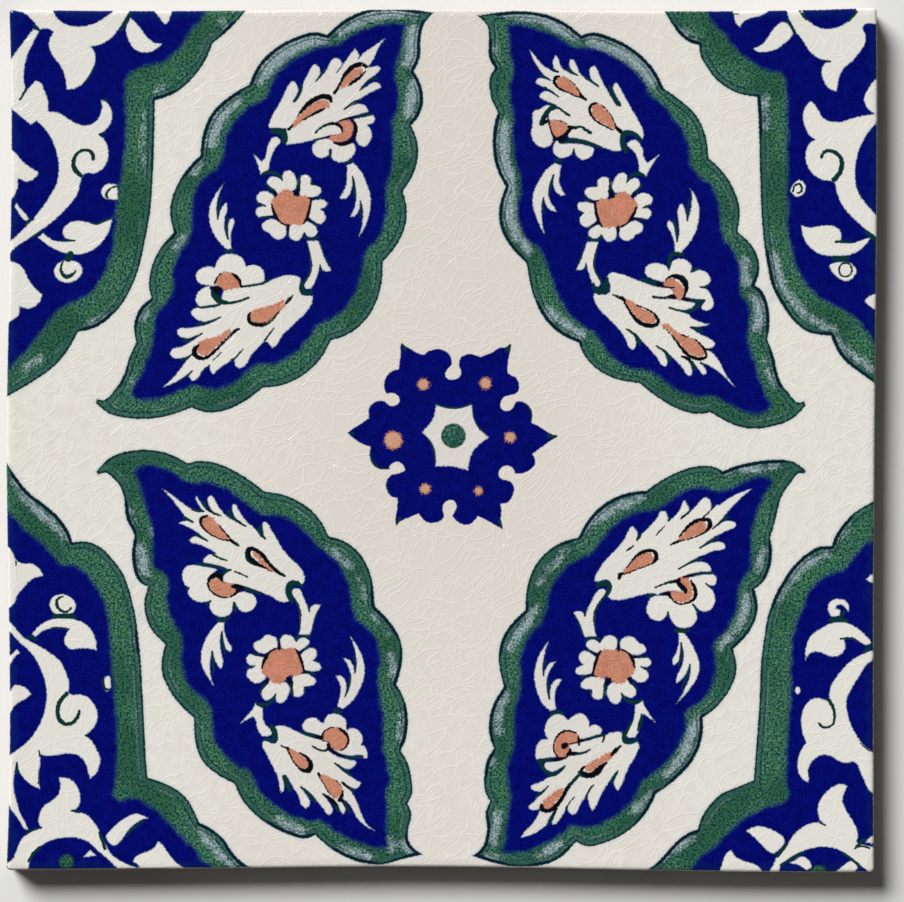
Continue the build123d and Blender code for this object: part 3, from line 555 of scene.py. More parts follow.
blossomBottomRight = dict(
    whites=dict(
        upperBlossom=[
            (16.1, 92.6, 1), (18.6, 92), (20.5, 90.9), (21.9, 89.9), (22.6, 88.3), (23.4, 87), (24.3, 86, 1),
            (23.6, 88.1), (23.2, 89), (23.5, 89.6), (24.3, 89.4), (25.2, 88.3), (26, 87), (26.8, 85.6, 1),
            (27.2, 86.7), (28.2, 87.4), (29, 86.9), (29.6, 85.6), (30.3, 84.2), (31.2, 83.2),
            (31.4, 82.6, 1), (31.9, 84.8), (32.3, 86), (32.6, 86.5), (33.1, 86), (33.9, 84.5), (34.7, 82.7),
            (35.7, 81), (36.8, 79.3), (38.5, 77.2, 1), (37.9, 78.6), (37.6, 79.9), (37.9, 81), (38.5, 81.8),
            (39, 81.2), (39.7, 79.9), (40.3, 78.2), (41.1, 76.3), (42.2, 74.6), (43, 73), (43.5, 71.5),
            (43.1, 70.4, 1), (42.3, 70.8), (41, 71.1), (40, 70.9), (39.6, 70.1), (39.5, 68.2, 1), (38, 68.2),
            (36.4, 68.6), (35.7, 69, 1), (33.4, 69.6), (31.6, 70.1), (29.8, 70.6), (28.4, 70.9),
            (27, 71.4, 1), (27.4, 72.6), (26.6, 74.4, 1), (25, 74.9), (23.4, 75.1), (22, 75.3), (21.5, 75.9),
            (21.9, 76.8), (22.9, 77.4), (24, 77.3), (25, 76.7), (26.3, 76.1, 1), (25, 77.6), (22.8, 78.6),
            (21.6, 79.3), (20.2, 80), (18.9, 80.4), (18.3, 80.9), (18.7, 81.5), (19.8, 82), (20.8, 82),
            (22.5, 80.8, 1), (21.2, 82.2), (20.2, 83), (19.2, 84.3), (18.2, 85.1), (17.8, 85.6),
            (18.4, 86.1), (19.4, 86.3), (20.7, 85.9, 1), (20.3, 87), (19.6, 88.3), (18.4, 89.8), (17, 91.3)],
        upperBud=[
            (19.7, 74.6, 1), (22.5, 74.2), (24.4, 74, 1), (24.6, 71.5, 1), (26.6, 69.2, 1), (29.9, 69.9, 1),
            (31.5, 69.6), (33.2, 69.1), (34.8, 68.4), (34.9, 67.7), (34.2, 66.9), (33.2, 66.5), (32.3, 66.8),
            (32, 67.2, 1), (31.7, 65.4), (31, 64.4), (29.8, 63.9), (28.6, 64.3), (27.4, 65.2), (27, 65.5, 1),
            (26.6, 65.1), (25.6, 64.3), (24.5, 64.1), (23.2, 64.6), (22.3, 65.6), (21.8, 66.9), (21.6, 68.2),
            (22, 69.3), (22.4, 69.9, 1), (21.2, 70), (20.2, 70.6), (19.7, 71.6), (19.5, 72.8), (19.5, 73.8)],
        lowerBud=[
            (45.1, 40), (45.6, 41.4), (46.8, 42.4), (48, 42.6), (49.2, 42.1), (49.9, 41.2), (50.1, 40.4, 1),
            (50.5, 41.6), (51.2, 43), (52.2, 43.9), (53.6, 44.3), (55, 44.1), (56.2, 43.2), (56.8, 41.9),
            (56.6, 40.4), (55.9, 38.6, 1), (56.8, 39.6), (57.8, 40.3), (59, 40.4), (60.2, 39.8),
            (60.9, 38.6), (61, 37.2), (60.6, 35.8), (58.8, 33.9, 1), (60, 34.4), (60.8, 34.4), (61.3, 33.6),
            (61.3, 32.6), (60.8, 31.8), (59.6, 31.8), (57.6, 32), (54.8, 32.6, 1), (53.5, 35.5),
            (50.6, 36.8), (48.6, 36.7), (47.2, 36.8), (46.2, 37.2), (45.5, 38.4)],
        lowerBlossom=[
            (36.2, 36.9, 1), (37, 37.6), (38.2, 37.8), (40, 37.6), (42, 37.1), (44.4, 36.5), (46.4, 36.2),
            (47.7, 36.6, 1), (49, 36), (50.4, 35.7), (52, 35.8), (53.2, 36, 1), (53, 32.6, 1), (56, 31.6),
            (58.4, 31.2), (59.9, 31.2), (60.1, 30.5), (59.6, 29.6), (58.4, 29), (57, 28.9), (54, 29.8, 1),
            (57, 27.9), (58.8, 27.2), (60.8, 26.4), (62.4, 26.2), (63.3, 25.7), (63.2, 24.8), (62.2, 24.3),
            (60.8, 24.4), (57.5, 25.7, 1), (59.4, 24.2), (61, 23.1), (62.8, 22.2), (64.6, 21.4),
            (65.7, 20.8), (65.8, 20), (65, 19.6), (63.6, 19.5), (60.4, 21.4, 1), (62.8, 18.8), (64, 17.2),
            (65.6, 15.6), (67.4, 13.8), (69.5, 12.1, 1), (67.8, 12.6), (65.8, 13.4), (63.6, 14.6),
            (62, 15.8), (61, 15.9, 1), (60, 17, 1), (60.1, 15.6), (59.6, 14.4), (58.8, 14), (58, 14.4),
            (57, 15.6), (55.8, 16.8), (55, 17.5, 1), (54.9, 16.4), (54.4, 15.4), (54, 14.7), (53.4, 15.4),
            (53, 16.6), (52.2, 17.8), (51, 19), (50.1, 19.7, 1), (50, 18.4), (49.6, 17.4), (48.8, 17.1),
            (48.1, 17.7), (47.6, 18.8), (46.4, 20.2), (45, 21.7), (44, 22.6), (43, 24, 1), (43.1, 22.6),
            (42.9, 21.8), (42.3, 21), (41.8, 20.7), (41.2, 21.4), (40.4, 23), (39.4, 24.6), (38, 26.2),
            (36.4, 27.8), (35, 29.4), (34, 31), (33.2, 32.6), (33.2, 33.4), (33.8, 33.6, 1), (35, 33.2),
            (36.4, 33.2), (37.1, 34.2), (37, 35.6)],
    ),
    salmon=dict(
        upperDropOne=[
            (21.2, 84.8), (21.6, 85.4), (22.6, 85.9), (23.4, 85.6), (23.9, 84.6), (24.9, 83.5), (25.8, 82.5),
            (26, 81.7), (25.4, 81.4), (24.3, 82), (22.8, 83.1), (21.7, 84)],
        upperDropTwo=[
            (31.3, 76.2), (31.4, 76.9), (32.3, 77.3), (33.2, 76.8), (33.8, 75.9), (35.2, 75.3), (36.2, 74.7),
            (37.1, 73.9), (37, 73.1), (36.2, 73.2), (34.8, 74), (33.2, 74.9), (32, 75.6)],
        upperBudHeart=[
            (23.9, 71.5), (24.1, 72.8), (24.9, 73.9), (26, 74.2), (27, 73.9), (27.3, 73), (26.9, 71.3, 1),
            (28.2, 70.7), (29.2, 70.4), (29.5, 69.6), (28.8, 68.7), (27.5, 68.3), (26.2, 68.3), (25, 68.9),
            (24.2, 70)],
        lowerBudHeart=[
            (50.7, 36.6), (51.4, 37.6), (52.6, 38.2), (54, 38.2), (55.2, 37.6), (55.7, 36.6), (55.5, 35.4),
            (55.2, 34.2), (54.8, 33), (53.8, 32.4), (52.9, 32.7), (53.2, 33.8), (54.2, 34.9), (53.6, 36.2),
            (52.4, 36), (51.2, 35.8)],
        lowerDropOne=[
            (39.6, 31.6), (40.6, 31.7), (42.2, 30.7), (44, 30), (45.6, 29.5), (46.8, 28.9), (46.6, 27.8),
            (45.4, 27), (44.2, 27.2), (43, 28), (41.6, 29.2), (40.4, 30.6)],
        lowerDropTwo=[
            (52.6, 23.8), (53.6, 23.9), (55.4, 23.2), (57.2, 22.5), (58.6, 21.9), (59, 21), (58.6, 20),
            (57.2, 19.6), (55.8, 20.4), (54.6, 21.4), (53.4, 22.7)],
    ),
    lines=[
        [(22.7, 89.4, .7), (23.4, 88, .8), (24, 86.7, .6), (24.4, 86, .5)],
        [(26.6, 86, .7), (27, 85.2, .4), (28.5, 83.2, .35)],
        [(31.2, 83.4, .7), (31.6, 82.3, .5), (32.2, 81.3, .6), (32.9, 80.5, .4)],
        [(37.1, 80, .6), (37.6, 78.8, .8), (38.1, 78, .7), (38.6, 77.2, .4)],
        [(19.9, 83, .7), (21, 82.3, .7), (21.8, 81.4, .5), (22.5, 80.7, .35)],
        [(22.6, 78.5, .5), (24, 78, 1), (25.3, 77.3, .7), (26.3, 76.2, .5)],
        [(23.4, 78.1, .9), (22.2, 77.7, .9), (21.3, 76.7, .9), (20.8, 75.6, .9), (20.2, 74.9, .8)],
        [(19.9, 74.9, .6), (21.5, 74.8, .8), (23.6, 74.7, .8), (24.8, 74.5, .9), (25.8, 74.3, .6),
         (27, 73.9, .4)],
        [(27, 73.4, .9), (28.4, 73.2, 1), (30, 73.2, .7), (31.2, 72.8, .6), (32.1, 72.3, .5)],
        [(27.3, 73.2, .9), (27.6, 72.2, .6)], [(26.1, 71.5, 1.5), (26.4, 71.3, 1.4)],
        [(27, 71, .35), (28.4, 70.8, .3), (29.6, 70.6, .5)],
        [(29.6, 71.2, .5), (29.6, 70.4, .8), (29.4, 69.5, .6)],
        [(29.9, 70.4, .6), (31.6, 70, .5), (33.4, 69.4, .6), (35.2, 69, .7)],
        [(35, 70.6, .4), (35.3, 69.9, .6), (35.4, 69.1, .7)],
        [(24.6, 73.9, .4), (23.9, 72.8, .45), (23.7, 71.4, .4), (24.1, 69.9, .4), (25, 68.7, .6),
         (26.3, 68, .6), (27.6, 68, .5), (28.9, 68.5, .4)],
        [(20.9, 85.2, .9), (21, 86, 1.2), (22, 86.5, 1), (23.2, 86.2, 1), (24.2, 85.4, 1.2),
         (25.2, 84.2, 1.1), (26, 82.9, .9), (26.6, 81.7, 1), (27.4, 80.6, 1), (28.4, 79.4, .8),
         (29.5, 78.3, .9)],
        [(29.6, 77.6, .9), (30.3, 77.9, 1.6), (31.4, 78.3, 1.4), (32.8, 78.1, 1.4), (34, 77.2, 1.7),
         (34.9, 76.2, 1.2), (36, 75.3, .5)],
        [(30, 77.4, .9), (30.4, 76.6, .8), (31, 76.2, .4)], [(33.4, 77.8, 1.2), (34.6, 76.8, 1)],
        [(37, 73.7, .5), (37.6, 72.9, 1.1), (38.4, 72.2, 1), (39.2, 71.5, .6)],
        [(22.6, 65, .4), (23.4, 64, .7), (24.8, 63.6, .8), (26, 64, .5)],
        [(43, 69.8, .6), (42.2, 70.4, .9), (41, 70.6, 1), (40, 70.2, 1.1), (40, 69.3, 1), (40.4, 68.4, .9),
         (41.2, 67, .6), (42, 65.4, .4)],
        [(43.2, 67.8, .6), (43.6, 66.4, .9), (44, 65.2, .8), (44.1, 64.2, .6)],
        [(33.6, 34.4, .8), (34.8, 34, 1.2), (36.2, 33.9, 1.3), (36.7, 34.8, 1), (36.4, 36, .7),
         (35.6, 37, .5)],
        [(45.4, 37, .5), (46.4, 36.6, .7), (47.2, 36.4, .4)],
        [(48.2, 36.4, .4), (49.2, 36.3, .7), (50.4, 36.2, .7)],
        [(50.4, 36.4, .9), (51, 37.6, .5), (52.2, 38.5, .5), (53.6, 38.7, .45), (55, 38.3, .5),
         (56, 37.6, .8), (56.5, 36.6, 1), (56.4, 35.4, 1), (55.9, 34.2, .8), (55.4, 33.2, .4)],
        [(54.2, 35.9, .9), (53.9, 35.2, 1.2), (53, 34.4, 1.2), (52.4, 33.5, 1), (52.8, 32.8, .6)],
        [(47.2, 34.9, .5), (48.6, 34.3, .5), (50.2, 33.7, .7), (51.6, 33.5, .9), (52.6, 33.2, 1)],
        [(53.8, 32.5, .6), (55.4, 32, .6), (57.2, 31.7, .5), (59, 31.5, .5), (60.4, 31.5, .5)],
        [(58.8, 33.9, .3), (59.6, 34.6, .5), (60.4, 35.2, .5)], [(50, 41.4, .4), (50.1, 40.6, .5)],
        [(51.6, 44.8, .6), (53.4, 45, .9), (55, 44.9, .6)],
        [(55.9, 38.8, .5), (56.6, 39.8, .6), (57, 40.4, .4)],
        [(38.8, 32.8, .9), (39.1, 31.9, 1.2), (39.6, 31.6, .7)],
        [(40, 31.8, .4), (41.6, 31.2, .4), (43.4, 30.5, .4), (45.2, 29.9, .35), (46.8, 29.2, .5)],
        [(46.8, 29, .6), (47.4, 28.2, 1.1), (47.4, 27.2, 1.1), (46.8, 26.5, .9)],
        [(46.9, 26.4, .8), (45.2, 26.4, .9), (43.8, 26.9, 1), (42.6, 27.8, .6), (41.4, 29.2, .4),
         (40.4, 30.5, .3)],
        [(50.6, 25, .4), (51.6, 24.6, .7), (52.4, 24.2, .7)],
        [(52.4, 24.2, .6), (54, 23.9, .35), (56, 23.3, .4), (58, 22.5, .5), (59.4, 21.6, .6)],
        [(59.2, 21.6, .7), (59.8, 20.6, 1.2), (59.8, 19.6, 1.2), (59.4, 19, .6)],
        [(59.6, 19.3, .8), (58, 19.2, .8), (56.4, 19.6, 1), (55.2, 20.4, .9), (53.8, 21.8, .6),
         (52.8, 23, .5)],
        [(52.6, 30.6, .5), (54, 29.8, .5), (55.6, 29, .6), (57, 28.5, .6), (58.2, 28.4, .4)],
        [(57.5, 25.7, .5), (59, 24.9, .5), (60.4, 24, .6), (61.8, 23.4, .6)],
        [(60.4, 21.3, .4), (61.8, 20.2, .5), (63, 19.2, .7), (63.8, 18.6, .8)],
        [(57.9, 19, .4), (58.8, 18.2, .5), (59.8, 17.2, .4), (61, 16, .4)],
        [(53.2, 18.8, .7), (54.2, 18.1, .6), (55.2, 17.2, .5)], [(50.2, 19.4, .5), (50.6, 19, .4)],
        [(47.4, 22.8, .35), (48.4, 21.7, .5), (49.4, 20.6, .3)],
        [(42.9, 24, .5), (43.5, 23, .9), (43.8, 22.6, .6)],
        [(40.5, 26.5, .4), (41.4, 25.8, .6), (42.2, 25.2, .4)]],
)

# corner medallions, one by one; they run on past the tile's edge
cornerTopLeft = dict(
    band=[
        (45.5, 101, 1), (47.7, 98), (51.3, 93.9), (55.1, 90.8, 1), (56.5, 87.3), (60, 82.4), (64, 79.2),
        (68.4, 77.6, 1), (68.5, 70), (68.8, 61), (69.5, 51.8), (70.8, 44.5), (73.1, 36), (77.6, 28.6),
        (82, 25.2), (86.2, 24.1, 1), (87.7, 21.2), (91.3, 16.5), (96.5, 12.7), (103, 9, 1), (110, 9, 1),
        (110, 110, 1), (45.5, 110, 1)],
    field=[
        (55, 101, 1), (56.8, 98), (60.5, 93.2), (63.2, 89.4), (65.2, 87.3), (69.5, 85.8), (73.3, 84.5),
        (75, 82.8), (75.3, 78.3), (75.2, 68), (76, 61.5), (77.1, 55), (77.6, 48.9), (78.4, 42.6),
        (80.4, 37.5), (83.8, 32.8), (88, 30.8), (90.4, 29.5), (94.2, 25.1), (98.2, 19.8), (103, 15, 1),
        (110, 15, 1), (110, 110, 1), (55, 110, 1)],
    whites=dict(
        upperLeaf=[
            (74, 96.8, 1), (72.1, 94.8), (70.1, 92.2), (68.6, 91), (66.6, 90.75, 1), (69.2, 88.9),
            (71.2, 88.7), (73.3, 89.6), (74.5, 91.6), (75.1, 93.6)],
        tooth=[(63.2, 101, 1), (64.5, 98), (65.2, 96), (66, 95.2), (67, 96.3), (68.35, 98), (70.5, 101, 1)],
        canopy=[
            (72.5, 101, 1), (74.3, 98.1), (76.2, 95), (78.5, 92), (81.2, 90.5), (83.4, 90, 1), (82.7, 89.5),
            (82.1, 87.4), (83.3, 83.8), (85.4, 81.2), (87.4, 80.2), (88.8, 80.1, 1), (89.1, 82.8),
            (90, 85.3), (92.3, 88.5), (92.9, 90.3), (91.8, 93.5, 1), (93.2, 94.2), (95, 94, 1), (96.8, 96.2),
            (98.3, 97.6), (100, 98.2), (103, 98.6, 1), (103, 104, 1), (72.5, 104, 1)],
        sideBand=[
            (95.1, 93.7, 1), (96.5, 94.1, 1), (98.5, 91.5), (100.6, 88.7), (103, 85, 1), (103, 75.5, 1),
            (99.3, 77.6), (98.4, 79.8), (98.7, 83.2), (98, 87.6), (96.4, 91.2)],
        tusk=[
            (93.1, 75, 1), (93, 76.9), (93.9, 79.9), (95, 81.9), (95.7, 82.2), (96.8, 81.3), (99.3, 78.2),
            (102, 76, 1), (97, 72, 1)],
        scroll=[
            (80.9, 77.8, 1), (79.6, 77.2), (78.4, 75.4), (78.3, 73.3), (79.4, 71.2), (81.2, 69.7, 1),
            (79.9, 68.3), (79.1, 65.5), (79.6, 63), (82.1, 60.8), (84.6, 60.7), (85.3, 59.6), (86.3, 56),
            (88.8, 52.7), (92.2, 49.5), (97.2, 45.9), (100.3, 43.9), (103, 41, 1), (103, 44, 1), (98.7, 48),
            (96.1, 50.8), (93, 55), (91, 58.8), (90.6, 62.5), (91.3, 66.2), (93, 70), (95.6, 72.8),
            (99.3, 75.2), (103, 76.8, 1), (98, 78, 1), (93.1, 75.1, 1), (90.5, 74.7), (87.6, 72.9),
            (84.8, 71.8), (82.4, 72.5), (80.9, 74.6), (80.6, 76.2)],
        bandRing=[
            (77, 58, 1), (78.3, 58.4), (79.6, 58.3), (80.6, 57.3), (80.8, 56.1), (80, 55, 1), (78.4, 54.7),
            (77, 54.8, 1)],
        comma=[
            (78.2, 50.4, 1), (80, 49.6), (81.9, 48.9), (83.6, 49.4), (86.2, 49.8), (88.6, 49.1),
            (89.7, 47.4), (89.2, 46), (86.8, 45.3, 1), (89.2, 45), (91.7, 45.3), (93.2, 46.1), (94.1, 47, 1),
            (95.4, 46, 1), (93, 44.1), (88.8, 42.3), (84.9, 42.2), (81.6, 43.9), (79.2, 47)],
        ring=[
            (89.6, 40.6, 1), (91.2, 39.6), (91.7, 38.2), (91, 36.5), (88.8, 35.5), (86.4, 36.2),
            (85.1, 38.2), (85.8, 39.9), (87.7, 40.7)],
        edgeFlower=[
            (95.3, 60.9), (96.1, 61.5), (98, 62.7), (100.8, 65.7), (103, 67.5, 1), (103, 53, 1),
            (101.1, 55.3), (100.1, 57.3), (100.1, 59.6, 1), (99.1, 59.3), (98.2, 58.8), (96.5, 59.4)],
        sprig=[
            (97.5, 50.3, 1), (98.3, 51.5), (99.6, 52.8), (100.3, 54.1, 1), (100.7, 53.6), (99.9, 51.6),
            (98.3, 49.7, 1)],
        footFlower=[
            (103, 40.5, 1), (100.3, 40.1), (98.8, 38.8), (97.4, 36), (95.5, 33.7), (94.4, 32.9, 1),
            (95.3, 30.7), (97.4, 29.6), (99.7, 30, 1), (99.9, 27.9), (101.2, 27), (103, 25.5, 1)],
    ),
    cuts=dict(
        halfMoon=[
            (77.2, 99, 1), (80.4, 96.5), (83.6, 95), (86, 94.7), (88.6, 95.1), (90.9, 96.6), (92, 99, 1),
            (92, 104, 1), (77.2, 104, 1)],
    ),
    lines=[
        [(82.7, 64.1, 1), (82.7, 65.1, 1), (83.4, 65.9, .9), (84.7, 66.2, .8), (86.1, 65.6, .8),
         (87, 64.3, .9), (87.2, 62.6, 1.2), (86.5, 61.2, 1.3), (85.4, 60.2, 1)],
        [(76.8, 57.8, .5), (78.3, 57.5, .5), (79.3, 56.6, .6), (79.6, 55.5, .8), (79.2, 55, .4)],
        [(89.5, 45.6, .4), (88.3, 45.3, .6), (86.8, 45.2, .4)],
        [(86.6, 38.5, .3), (87.6, 37.3, .9), (88.9, 36.9, 1.1), (89.9, 37.8, .9), (90.1, 39.2, .6),
         (89.6, 40.4, .5)],
        [(87.9, 42.1, 1.6), (88.4, 41, 1.6)], [(98.2, 80.3, .5), (98.8, 79.1, .6), (99.5, 77.8, .6)],
        [(95.1, 93.8, .5), (95.9, 94.6, .6), (96.5, 95.1, .4)],
        [(74.1, 97.6, .8), (75.2, 95.6, .9), (76.3, 93.8, .7)],
        [(78.3, 50.5, .5), (80.2, 49.8, .5), (82, 49.1, .5), (83.4, 49.5, .3)],
        [(94.2, 47.9, .4), (95.8, 46.6, .6), (97.2, 45.8, .4)],
        [(96.4, 50.2, .6), (97.3, 49.9, .6), (98.3, 48.9, .5)],
        [(79, 77.4, .3), (80.2, 77.9, .5), (80.8, 77.9, .3)],
        [(80.1, 70.2, .4), (81.2, 69.7, .5), (80.4, 69.2, .4)],
        [(82.4, 85.4, .4), (83.6, 83, .5), (84.8, 81.6, .3)]],
)

cornerTopRight = dict(
    band=[
        (47.5, 101, 1), (49.4, 98), (50.9, 95.5), (52.8, 92.8), (55.2, 91), (57.3, 90.4, 1), (57.7, 87.8),
        (59.2, 85.1), (61.3, 82.4), (65.2, 79.7), (70.7, 78.4, 1), (71, 73.5), (71.2, 67.4), (71.4, 59.7),
        (71.8, 50), (73, 39.8), (74.2, 34.5), (76.3, 30.6), (79.4, 26.4), (82.1, 24.3), (84.8, 23.5),
        (87.7, 23.3, 1), (89, 20.2), (90.9, 17.5), (94, 15), (97.5, 12.5), (103, 8.5, 1), (110, 8.5, 1),
        (110, 110, 1), (47.5, 110, 1)],
    field=[
        (58.2, 101, 1), (59.4, 98), (60.9, 95.1), (63.2, 93.3), (64.8, 90.8), (67.1, 88.5), (70.2, 86.2),
        (73.5, 84.4), (76.4, 83.9), (77.1, 82.9), (77.5, 80.4), (77.6, 75.1), (77.8, 67.4), (77.8, 61.5),
        (77.9, 55.4), (78.2, 46.2), (79, 42.2), (80.2, 38.7), (82.1, 35.2), (84.8, 32.5), (88.6, 30.2),
        (91.7, 28.7), (94.8, 26), (97.9, 21.4), (103, 14, 1), (110, 14, 1), (110, 110, 1), (58.2, 110, 1)],
    whites=dict(
        upperLeaf=[
            (69.8, 89.6, 1), (71.8, 90.5), (73.3, 92.4), (75, 94.8), (77, 95.8), (77.9, 95.2), (79, 93),
            (78.5, 92.1), (77, 90.8), (75.2, 89.5), (72.5, 88.8), (70.8, 88.9)],
        tooth=[
            (64.8, 101, 1), (65.3, 97.2), (65.7, 95.6), (66.8, 94.5, 1), (67.5, 95.7), (69, 96.5),
            (71.7, 97.2), (73.2, 98.2), (74, 101, 1)],
        canopy=[
            (77, 101, 1), (77.7, 97.6), (79.1, 93.9), (80.6, 92.4), (81.8, 90.5), (83.3, 88.5), (85.2, 87.2),
            (87.6, 86.7, 1), (86, 85.8), (85.6, 84.3), (86, 82.4), (87, 80.6), (89.1, 79.7, 1), (89.3, 81.2),
            (89.7, 83.1), (90.6, 84.9), (92.6, 86.6), (94.3, 88.7), (95.6, 90.6), (95.8, 92.3),
            (95, 94.3, 1), (95.6, 95.2), (98, 95.3), (103, 95.3, 1), (103, 104, 1), (77, 104, 1)],
        scroll=[
            (83.2, 77.5, 1), (82.2, 76.6), (81.4, 75.1), (81.3, 73.3), (81.9, 71.2), (82.7, 69.7),
            (84.1, 68.6, 1), (82.6, 67.4), (81.9, 65.4), (82, 63.5), (82.8, 61.6), (84.5, 59.9),
            (86.4, 59.1), (87.9, 59), (88.8, 58.3, 1), (89.1, 56.6), (89.9, 54.3), (91.4, 52), (93.7, 49.7),
            (96, 47.7), (98, 46.3), (103, 43, 1), (103, 46.5, 1), (97.8, 51.6), (96.4, 53.1), (94.9, 55.2),
            (93.7, 57.7), (93.3, 60.4), (93.5, 63.1), (94.1, 65.8), (95.3, 68.5), (96.8, 70.8), (98, 72.2),
            (103, 76, 1), (103, 75.2, 1), (97.9, 74.5), (95.3, 74.1), (92.6, 73.5), (90.2, 72.7),
            (87.9, 72.7), (86, 73.5), (85, 75.1), (84.1, 76.6)],
        tusk=[
            (98.2, 82.6, 1), (97.3, 81.8), (96.4, 80.4), (95.6, 78.9), (95.4, 77.4), (96.1, 75.9), (97, 75),
            (98.5, 74.6, 1), (103, 75, 1), (103, 82, 1)],
        bandRing=[
            (78.4, 57), (79.2, 58.4), (80.4, 59.3), (81.6, 58.6), (81.9, 57.3), (81.3, 55.9), (80, 55.3)],
        comma=[
            (80.9, 48.8, 1), (82.2, 48.3), (84.5, 48.5), (86.8, 48.8), (88.7, 48.5), (89.9, 47.5),
            (90.2, 46.2), (90, 45.3, 1), (91.2, 44.8), (93.2, 44.8), (95.2, 45.5), (97, 46, 1), (96, 44.6),
            (94.5, 43.1), (92.2, 42), (88.6, 41.7), (85.6, 42), (83.2, 43.4), (81.5, 45.8)],
        ring=[
            (87.5, 39.6), (88.4, 40.1), (90.6, 40.3), (92.5, 39.9), (93.7, 38.2), (92.9, 36.7), (91.3, 35.9),
            (89.5, 36.6), (88.1, 37.9)],
        sideSpeck=[(95.6, 31.4), (97, 32.6), (99, 33.2, 1), (99, 29, 1), (97, 29.9)],
    ),
    cuts=dict(
        halfMoon=[
            (81.2, 98.6, 1), (82.2, 96.4), (84.1, 94.9), (86, 94.2), (87.9, 94.2), (90.6, 95.1),
            (92.4, 96.6), (93.6, 98.6, 1), (92, 104, 1), (82, 104, 1)],
    ),
    lines=[
        [(85.6, 64.5, .9), (85.8, 65.4, .8), (87, 66, .9), (88.7, 65.6, 1), (89.9, 64.5, 1),
         (90.3, 62.5, 1.2), (89.7, 60.8, 1.2), (88.5, 59.3, 1.3)],
        [(79, 56.6, .5), (79.4, 58, .5), (80.5, 58.3, .6), (81.1, 57.4, .6), (80.6, 56.3, .5),
         (79.9, 56.4, .4)],
        [(88.8, 45, .6), (90.2, 45, .8), (92.6, 44.8, .5)],
        [(89.6, 38.4, .6), (90, 39.6, .5), (91.2, 40.1, .5), (92.4, 39.4, .6), (92.5, 37.9, .7),
         (91.4, 36.9, .6), (90.2, 37.2, .5), (89.6, 38.4, .5)],
        [(88.4, 41.3, 1), (89.6, 41, 1.4), (91.4, 41.2, 1.2)],
        [(80.6, 98.4, .7), (81.4, 97.2, .8), (82.1, 96.3, .6)],
        [(93.9, 98.6, .8), (92.9, 97.2, .8), (91.8, 96, .6)],
        [(77.8, 96.3, .6), (78.6, 94.8, .8), (79.4, 93.3, .8)], [(85.6, 86.9, .4), (87.7, 86.6, .5)],
        [(95.8, 47.2, .6), (97.2, 46.1, .9), (98.2, 45.4, .8)], [(94.8, 55, .3), (93.6, 57.8, .3)],
        [(65.2, 97.6, .4), (66.4, 97.6, .5)]],
)

